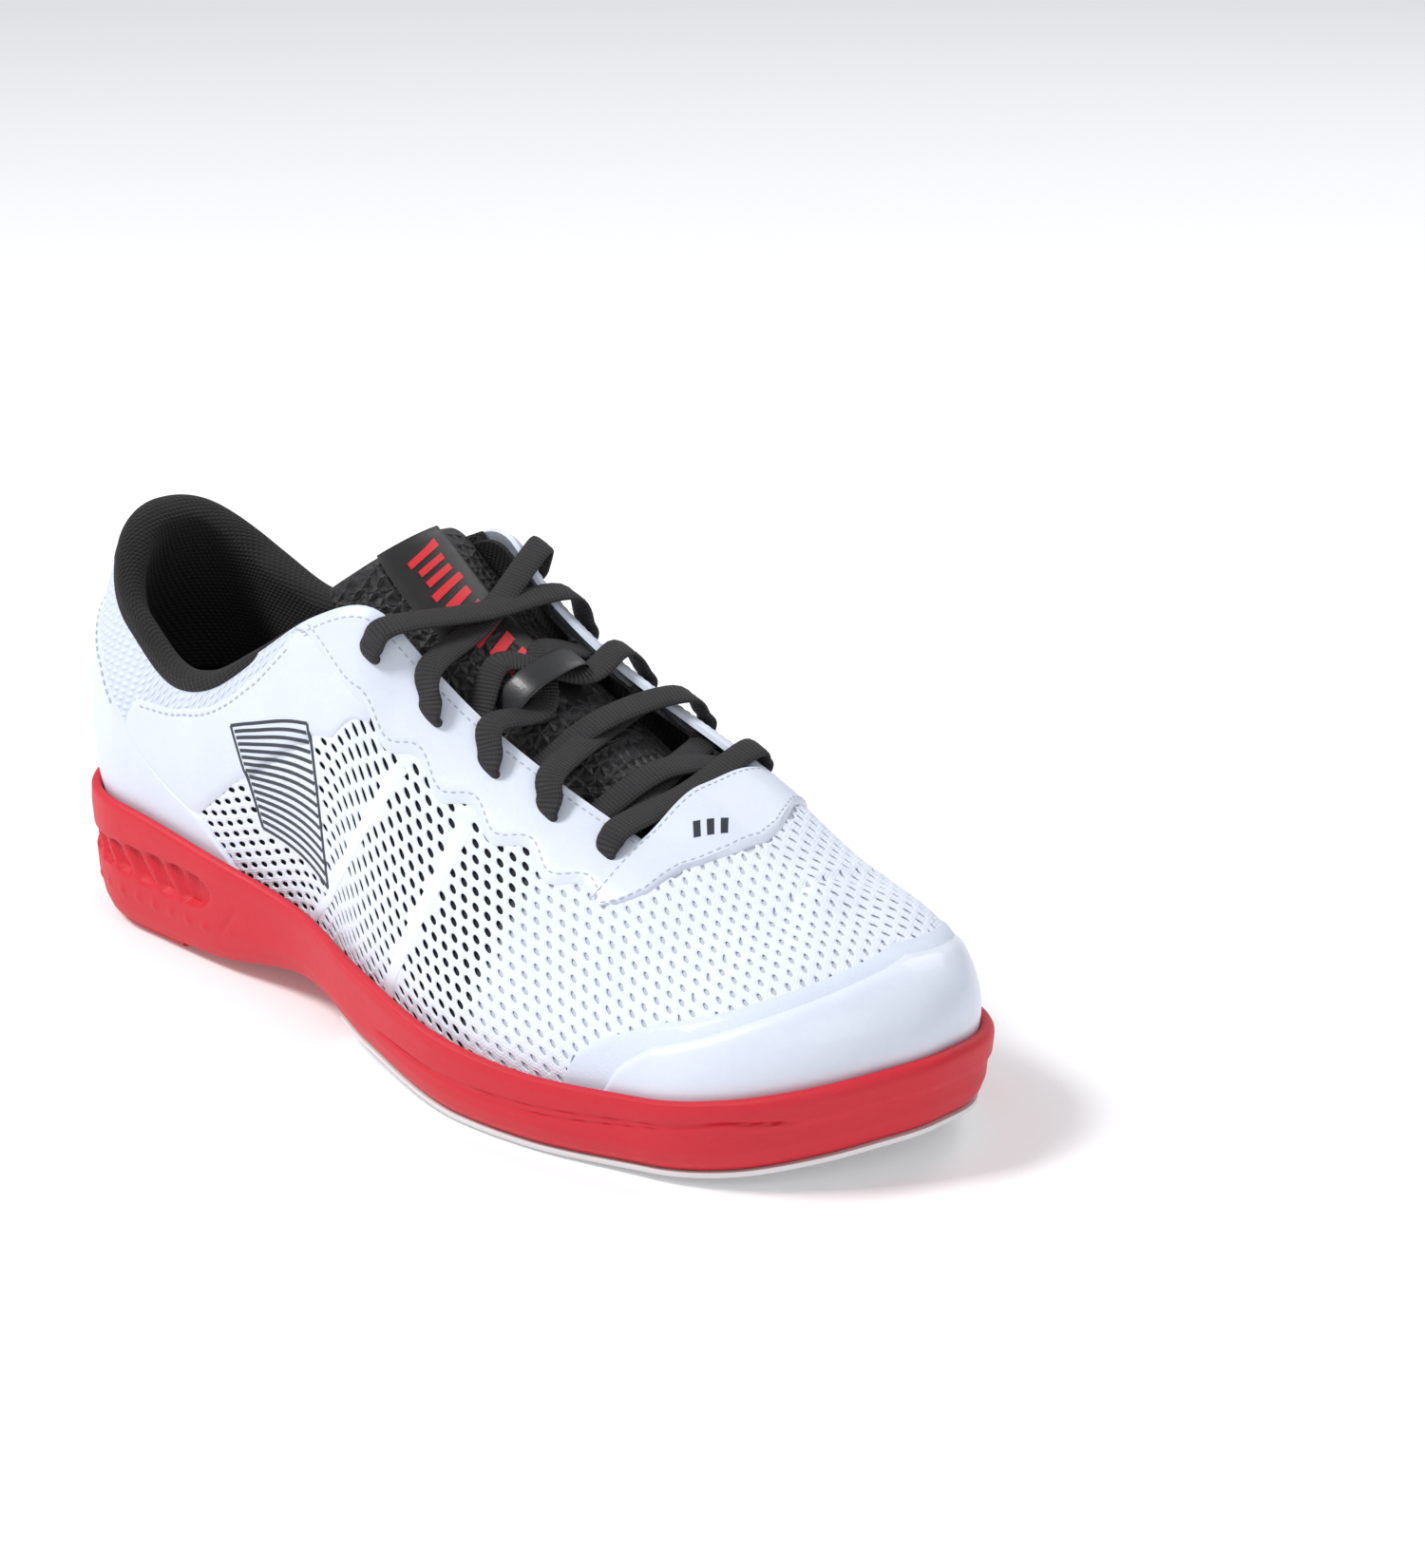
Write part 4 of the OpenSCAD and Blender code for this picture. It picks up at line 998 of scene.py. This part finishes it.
def build_throat():
    """Panel that joins the two eyestays ahead of the laces."""
    count = 21
    b_share = np.linspace(-1, 1, 61)
    grid_s, grid_v, grid_side = [], [], []
    for k in np.linspace(0, 1, count):
        for share in b_share:
            v = mix(0.69, 2.0, 1 - abs(share))
            front = np.interp(v, [0.69, 0.73, 0.81, 1.2, 1.6, 2.0], [229, 233, 237, 242, 246, 248])
            grid_s.append(mix(226.3, front, k))
            grid_v.append(v)
            grid_side.append(OUTER if share <= 0 else INNER)
    shape = (count, len(b_share))
    s, v, side = (np.array(a, float).reshape(shape) for a in (grid_s, grid_v, grid_side))
    base = upper(s, side, v)
    rise = np.sqrt(smooth(edge_distance(base, (False, True, True, True)) / 0.9))
    top = upper(s, side, v, 0.1 + 0.95 * rise)
    bottom = upper(s, side, v, -0.9)
    flats = np.concatenate([flat_map(base).reshape(-1, 2)] * 2)
    points = np.concatenate([top.reshape(-1, 3), bottom.reshape(-1, 3)])
    piece = add_piece("throat_film", points, shell_faces(*shape), film_white, flats)
    crosses_flex(piece, "throat_overlay")

    inner = [1, count - 3]
    paths = []
    for k in inner:
        path = upper(s[k], side[k], v[k], 1.03)
        paths.append((path, upper(s[k], side[k], v[k], 2.03) - path))
    thread = stitches("throat_stitches", paths, pitch=2.3, length=1.5, radius=0.28)
    crosses_flex(thread)

    points, faces = [], []
    f = np.linspace(0, 1, 8)[:, None]
    for k in range(3):
        across = np.array([[0.0, 1.0]]) + 1.9 * k
        mark_s = 233.0 + 1.15 * across + 3.0 * f
        mark_v = 1.36 + 0.07 * across + 0.16 * (1 - f)
        top = upper(mark_s, OUTER, mark_v, 1.14)
        low = upper(mark_s, OUTER, mark_v, 0.9)
        start = len(points)
        points += list(top.reshape(-1, 3)) + list(low.reshape(-1, 3))
        faces += [tuple(start + i for i in face) for face in shell_faces(8, 2)]
    mark = add_piece("throat_mark", np.array(points), faces, print_dark, weld=0.0001)
    crosses_flex(mark, "throat_emblem")


def build_toe_cap():
    s, side = stations = round_end(240, S_END, 1.5)
    piece = layer("toe_cap_border", stations, 0.0, np.maximum(cap_border(s), 0.01), border_white,
                  0.1, 0.45, rows=20, free=(True, True, False, True), ramp=1.5)
    crosses_flex(piece, "toe_cap_film")
    s, side = stations = round_end(250, S_END, 1.5)
    piece = layer("toe_cap_shell", stations, 0.0, np.maximum(cap_edge(s), 0.01), cap_white,
                  0.4, 1.0, rows=20, free=(True, True, False, True), ramp=3.0)
    crosses_flex(piece, "toe_cap")


def build_side_mark():
    """Slanted block of thin dark bars with an outline, in place of a printed mark."""
    points, faces = [], []

    def bar(start, end, width):
        """One printed line between two (f, g) corners of the block: f along, g up."""
        start, end = np.array(start, float), np.array(end, float)
        line = start + (end - start) * np.linspace(0, 1, 16)[:, None]
        s, v = mark_spot(line[:, 0], line[:, 1])
        on_film = smooth((v - film_edge(s)) / 0.03 + 0.5)
        above = mix(0.14, 0.66, on_film)
        path = upper(s, OUTER, v, above)
        out = upper(s, OUTER, v, above + 1.0) - path
        way = np.gradient(path, axis=0)
        across = np.cross(out, way)
        across *= width / 2 / np.linalg.norm(across, axis=1, keepdims=True)
        top = np.stack([path - across, path + across], 1)
        under = top - 0.3 * out[:, None]
        first = len(points)
        points.extend(top.reshape(-1, 3))
        points.extend(under.reshape(-1, 3))
        faces.extend(tuple(first + i for i in face) for face in shell_faces(16, 2))

    corners = [(0, 0), (1, 0), (1, 1), (0, 1)]
    for a, b in zip(corners, corners[1:] + corners[:1]):
        bar(a, b, 0.9)
    count = 15
    for k in range(1, count):
        g = k / count
        bar((0.03, g), (0.97, g), 0.95)
    piece = add_piece("side_mark", np.array(points), faces, print_dark, weld=0.0001)
    stays_on(piece, "shoe", "side_emblem")


# ---------------------------------------------------------------- lining and collar

def build_lining():
    stations = round_end(S_QUARTER, 0)
    piece = layer("rear_lining_cloth", stations, 0.0, 0.60, inside_black, LINING_OUT - 1.0, 1.0,
                  rows=10, free=(False,) * 4, sink=0.0)
    stays_on(piece, "shoe", "rear_lining")
    s, side = stations = round_end(S_QUARTER, S_END)
    high = np.where(s < S_THROAT - 1, 0.98, 2.0)
    piece = layer("front_lining_cloth", stations, 0.0, high, inside_black, LINING_OUT - 1.0, 1.0,
                  rows=16, free=(False,) * 4, sink=0.0)
    crosses_flex(piece, "vamp_lining")


def build_collar():
    """Padded collar: knit rolled over foam, from inside the shoe to its stitched outer edge."""
    s, side = round_end(138, 0, 2.5)
    slim = mix(0.30, 1.0, smooth((138 - s) / 62))[:, None]
    tuck = smooth((s - 98) / 36)[:, None]
    pad = PAD_IN * slim
    reach = 9 * smooth((36 - s) / 20) + 2.2
    turn = np.linspace(0, 1, 25)
    path_v = [0.36, 0.48, 0.60, 0.72, 0.86, 0.96, 1, 1, 1, 1, 1, 1]
    path_d = [pad * 0 - 4.2, mix(-4.4, pad, 0.35), mix(-4.4, pad, 0.8), pad - 1.0, pad - 1.3,
              pad - 1.2, pad - 0.8, pad * 0.84, mix(pad * 0.5, pad * 0.8, tuck), mix(-0.7, -2.0, tuck),
              mix(0.5, -1.7, tuck), mix(0.7, -1.6, tuck)]
    path_lift = [0, 0, 0, 0, 0, 0, 1.2, 3.2, 3.9, 3.0, 1.2, 0.2]
    keys = np.linspace(0, 1, len(path_v))
    v = np.interp(turn, keys, path_v)[None, :] + 0 * s[:, None]
    path_d = np.concatenate(path_d, 1)
    d = np.stack([np.interp(turn, keys, one) for one in path_d])
    lift = np.interp(turn, keys, path_lift)[None, :] * slim
    height = row_at(UPPER, s)[:, 1] - row_at(SOLE, s)[:, 3]
    tail = np.linspace(0, 1, 6)[None, 1:]
    tail_v = 1 - tail * (reach / (height * 1.05))[:, None]
    v = np.concatenate([v, tail_v], 1)
    d = np.concatenate([d, mix(d[:, -1:], mix(0.3, -1.6, tuck), tail ** 3)], 1)
    lift = np.concatenate([lift, 0 * tail_v], 1)
    skin = upper(s[:, None], side[:, None], v, d, lift)
    close_v = np.concatenate([tail_v[:, ::-1], 1 + 0 * s[:, None], 0.8 + 0 * s[:, None]], 1)
    close_d = np.concatenate([mix(-0.2, -1.9, tuck) + 0 * tail_v, -2.2 + 0 * s[:, None], -3 + 0 * s[:, None]], 1)
    core = upper(s[:, None], side[:, None], close_v, close_d)
    rings = np.concatenate([skin, core], 1)
    n, m = rings.shape[:2]
    faces = grid_faces(n, m, closed=True)
    faces.append(tuple(range(m)))
    faces.append(tuple((n - 1) * m + k for k in range(m - 1, -1, -1)))
    flat = flat_map(rings)
    piece = add_piece("padded_collar", rings, faces, lining_black, flat, sharp=80)
    rest = skin[:, 6:20].reshape(-1, 3)

    def pinned(points):
        gap = np.min(np.linalg.norm(points[:, None] - rest[None], axis=2), axis=1)
        return gap > 0.05
    puff(piece, pinned, 1.2)
    subdivide(piece)
    stays_on(piece, "shoe", "collar_foam", "collar_lining")


# ---------------------------------------------------------------- tongue, label and laces

def bends_with_tongue(piece, *nodes):
    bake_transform(piece)
    if nodes:
        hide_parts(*nodes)


def tongue_sheet(name, low, high, width, along, material, d_out, d_in, round_edge):
    t = np.linspace(low, high, along)[:, None]
    g = np.linspace(-width, width, 21)[None, :]
    near = np.minimum((width - abs(g)) * 22, np.minimum((high - t) * 12, (t - low) * 40 + 1))
    puffed = np.sqrt(np.clip(smooth(near / round_edge), 0, 1))
    middle = (d_out + d_in) / 2
    top = tongue_spot(t, g, mix(middle, d_out, puffed))
    bottom = tongue_spot(t, g, mix(middle, d_in, puffed))
    flats = np.concatenate([flat_map(top).reshape(-1, 2)] * 2)
    points = np.concatenate([top.reshape(-1, 3), bottom.reshape(-1, 3)])
    return add_piece(name, points, shell_faces(along, 21), material, flats, sharp=80)


def build_tongue():
    piece = tongue_sheet("padded_tongue", 0, 6.3, 1.0, 60, tongue_black, 0.0, -6.7, 3.2)

    def pinned(points):
        return (points[:, 0] > 168) | (points[:, 0] < 60)
    puff(piece, pinned, 0.8)
    subdivide(piece)
    bends_with_tongue(piece, "tongue_cover", "tongue_foam", "tongue_lining", "tongue_flap",
                      "tongue_flap_pad")
    piece = tongue_sheet("label_strip", 3.1, 6.22, 0.47, 50, label_black, 0.55, -0.6, 0.8)
    bends_with_tongue(piece, "tongue_label")
    points, faces = [], []
    for k in range(10):
        g = np.linspace(-0.24, 0.24, 9) * (0.8 if k % 3 else 1.0)
        t = 6.0 - 0.25 * k + 0.35 * g
        grid = np.stack([tongue_spot(t, g, 0.85), tongue_spot(t - 0.13, g, 0.85)], 1)
        under = np.stack([tongue_spot(t, g, 0.3), tongue_spot(t - 0.13, g, 0.3)], 1)
        start = len(points)
        points += list(grid.reshape(-1, 3)) + list(under.reshape(-1, 3))
        faces += [tuple(start + i for i in face) for face in shell_faces(9, 2)]
    piece = add_piece("label_bars", np.array(points), faces, label_red)
    bends_with_tongue(piece)


NARROW, GATHERED, LACE_W, LACE_T = 4.2, 6.4, 7.6, 2.0
TOP_D, UNDER_D, EYELET_V = 2.25, -3.0, 0.86
KEEPER_X = 122.0


def eyelet_s(row):
    return S_HEEL + 167 - 18 * row


def in_eyelet(row, side, d):
    return (*upper(eyelet_s(row), side, EYELET_V, d), NARROW if d < 0 else GATHERED)


def on_stay(row, side, v, d, ahead):
    return (*upper(eyelet_s(row) + ahead, side, v, d), LACE_W)


def over_tongue(x, above, across=0.0):
    order = TONGUE[::-1]
    z = np.interp(x, order[:, 1], order[:, 2])
    return (x, float(lacing_y(x)) + across, z + above + 0.16 * across, LACE_W)


def leave_top(row, side):
    return [in_eyelet(row, side, -1.3), in_eyelet(row, side, 1.4),
            on_stay(row, side, 0.9, TOP_D + 1.0, -0.8), on_stay(row, side, 1.01, TOP_D + 1.6, -4)]


def leave_under(row, side):
    return [on_stay(row, side, 0.9, UNDER_D - 0.7, -2), on_stay(row, side, 0.99, UNDER_D - 1.1, -5)]


def arrive_under(row, side):
    return [on_stay(row, side, 0.99, UNDER_D - 1.4, 5), on_stay(row, side, 0.91, UNDER_D - 0.4, 2),
            in_eyelet(row, side, UNDER_D)]


def arrive_top(row, side):
    return [on_stay(row, side, 1.01, TOP_D + 2.8, 4), on_stay(row, side, 0.9, TOP_D + 1.2, 1.0),
            in_eyelet(row, side, 1.4), in_eyelet(row, side, -1.3)]


def crossing(row, above):
    x = (eyelet_s(row) + eyelet_s(row + 1)) / 2 - S_HEEL
    return [over_tongue(x, above + LACE_T / 2)]


def keeper_crossing(side, above):
    return [over_tongue(KEEPER_X - 6 * end, above + LACE_T / 2, -7 * end * side)
            for end in (-1, 1)]


def build_laces():
    runs = [[in_eyelet(0, OUTER, -1.3), in_eyelet(0, OUTER, 1.3),
             on_stay(0, OUTER, 0.9, TOP_D + 0.8, 0), on_stay(0, OUTER, 0.99, TOP_D + 0.8, 0),
             over_tongue(167, 5), on_stay(0, INNER, 0.99, TOP_D + 0.8, 0),
             on_stay(0, INNER, 0.9, TOP_D + 0.8, 0), in_eyelet(0, INNER, 1.3),
             in_eyelet(0, INNER, -1.3)]]
    for side in (OUTER, INNER):
        lift = 0.6 if side < 0 else 0.6 + LACE_T + 0.8
        runs.append(leave_under(0, side) + crossing(0, lift) + arrive_under(1, -side))
        runs.append(leave_top(1, side) + crossing(1, lift) + arrive_under(2, -side))
        runs.append(leave_top(2, side) + keeper_crossing(side, lift) + arrive_under(3, -side))
        runs.append(leave_top(3, side) + crossing(3, lift) + arrive_top(4, -side))
        runs.append([(*upper(eyelet_s(4) + back, side, 0.8, UNDER_D), NARROW)
                     for back in (-5, -13)])
    points, faces, flats = [], [], []
    start = 0
    for path in runs:
        path = np.array(path, float)
        rings, flat = tube(path[:, :3], path[:, 3], LACE_W * LACE_T)
        faces += tube_faces(rings, start)
        points.append(rings.reshape(-1, 3))
        flats.append(flat.reshape(-1, 2))
        start += len(points[-1])
    piece = add_piece("woven_lace", np.concatenate(points), faces, lace_black,
                      np.concatenate(flats), sharp=80, weld=0.0001)
    crosses_flex(piece, "lace")

    f = np.linspace(-1, 1, 29)
    path = tongue_spot(3.5, 0.57 * f, 0.9 + 6.8 * (1 - f ** 6))
    rings, flat = tube(path, np.full(len(path), 8.4), 7.6, per_span=1)
    piece = add_piece("keeper_loop", rings, tube_faces(rings, 0), keeper_black, flat, sharp=80)
    stays_on(piece, "shoe", "lace_keeper")


def dress_cad():
    """Finishes for the CAD parts that stay as they are."""
    finishes = {"heel_pad": foam_red, "shank": steel, "heel_counter": board_tan,
                "toe_puff": board_tan, "aglets": aglet_black}
    for name, material in finishes.items():
        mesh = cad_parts[name].data
        mesh.materials.clear()
        mesh.materials.append(material)


# ---------------------------------------------------------------- room, lights and camera

def build_room():
    bpy.ops.mesh.primitive_plane_add(size=12, location=(0.1, 0, -0.0005))
    floor = bpy.context.active_object
    floor.name = "studio_floor"
    mat, tree, shader = new_material("floor_white")
    shader.inputs["Base Color"].default_value = (0.90, 0.90, 0.91, 1)
    shader.inputs["Roughness"].default_value = 0.8
    shader.inputs["Emission Color"].default_value = (1, 1, 1, 1)
    shader.inputs["Emission Strength"].default_value = 0.10
    floor.data.materials.append(mat)

    world = bpy.data.worlds.new("studio")
    bpy.context.scene.world = world
    world.use_nodes = True
    world.node_tree.nodes["Background"].inputs["Color"].default_value = (0.95, 0.97, 1.0, 1)
    world.node_tree.nodes["Background"].inputs["Strength"].default_value = 0.50
    bpy.context.scene.view_settings.view_transform = "Standard"

    lamps = [("key", (-0.5, -0.9, 1.5), 25, 0.5), ("fill", (1.3, -0.5, 0.9), 3, 0.8),
             ("back", (0.1, 1.3, 1.2), 6, 0.8)]
    for name, spot, power, size in lamps:
        lamp = bpy.data.lights.new(name, "AREA")
        lamp.energy = power
        lamp.size = size
        holder = bpy.data.objects.new(name, lamp)
        holder.location = spot
        aim = Vector((0.1, 0, 0.04)) - Vector(spot)
        holder.rotation_euler = aim.to_track_quat("-Z", "Y").to_euler()
        bpy.context.scene.collection.objects.link(holder)


def build_camera():
    right, up = Vector((0.7269, 0.6868, -0.0027)), Vector((-0.2452, 0.2632, 0.9331))
    back = Vector((0.6415, -0.6776, 0.3597))
    camera = bpy.data.cameras.new("camera")
    camera.lens = 84.0
    camera.sensor_width = 36.0
    camera.sensor_fit = "AUTO"
    camera.clip_start = 0.01
    holder = bpy.data.objects.new("camera", camera)
    turn = Matrix((right, up, back)).transposed()
    holder.matrix_world = Matrix.Translation((0.763, -0.6025, 0.4057)) @ turn.to_4x4()
    bpy.context.scene.collection.objects.link(holder)
    bpy.context.scene.camera = holder


build_midsole()
build_slide_sole()
build_inside_layers()
build_mesh_skin()
build_mesh_backing()
build_strips()
build_rear()
build_inner_quarter()
build_eyestay(OUTER, "outer")
build_eyestay(INNER, "inner")
build_throat()
build_toe_cap()
build_side_mark()
build_lining()
build_collar()
build_tongue()
build_laces()
dress_cad()
build_room()
build_camera()
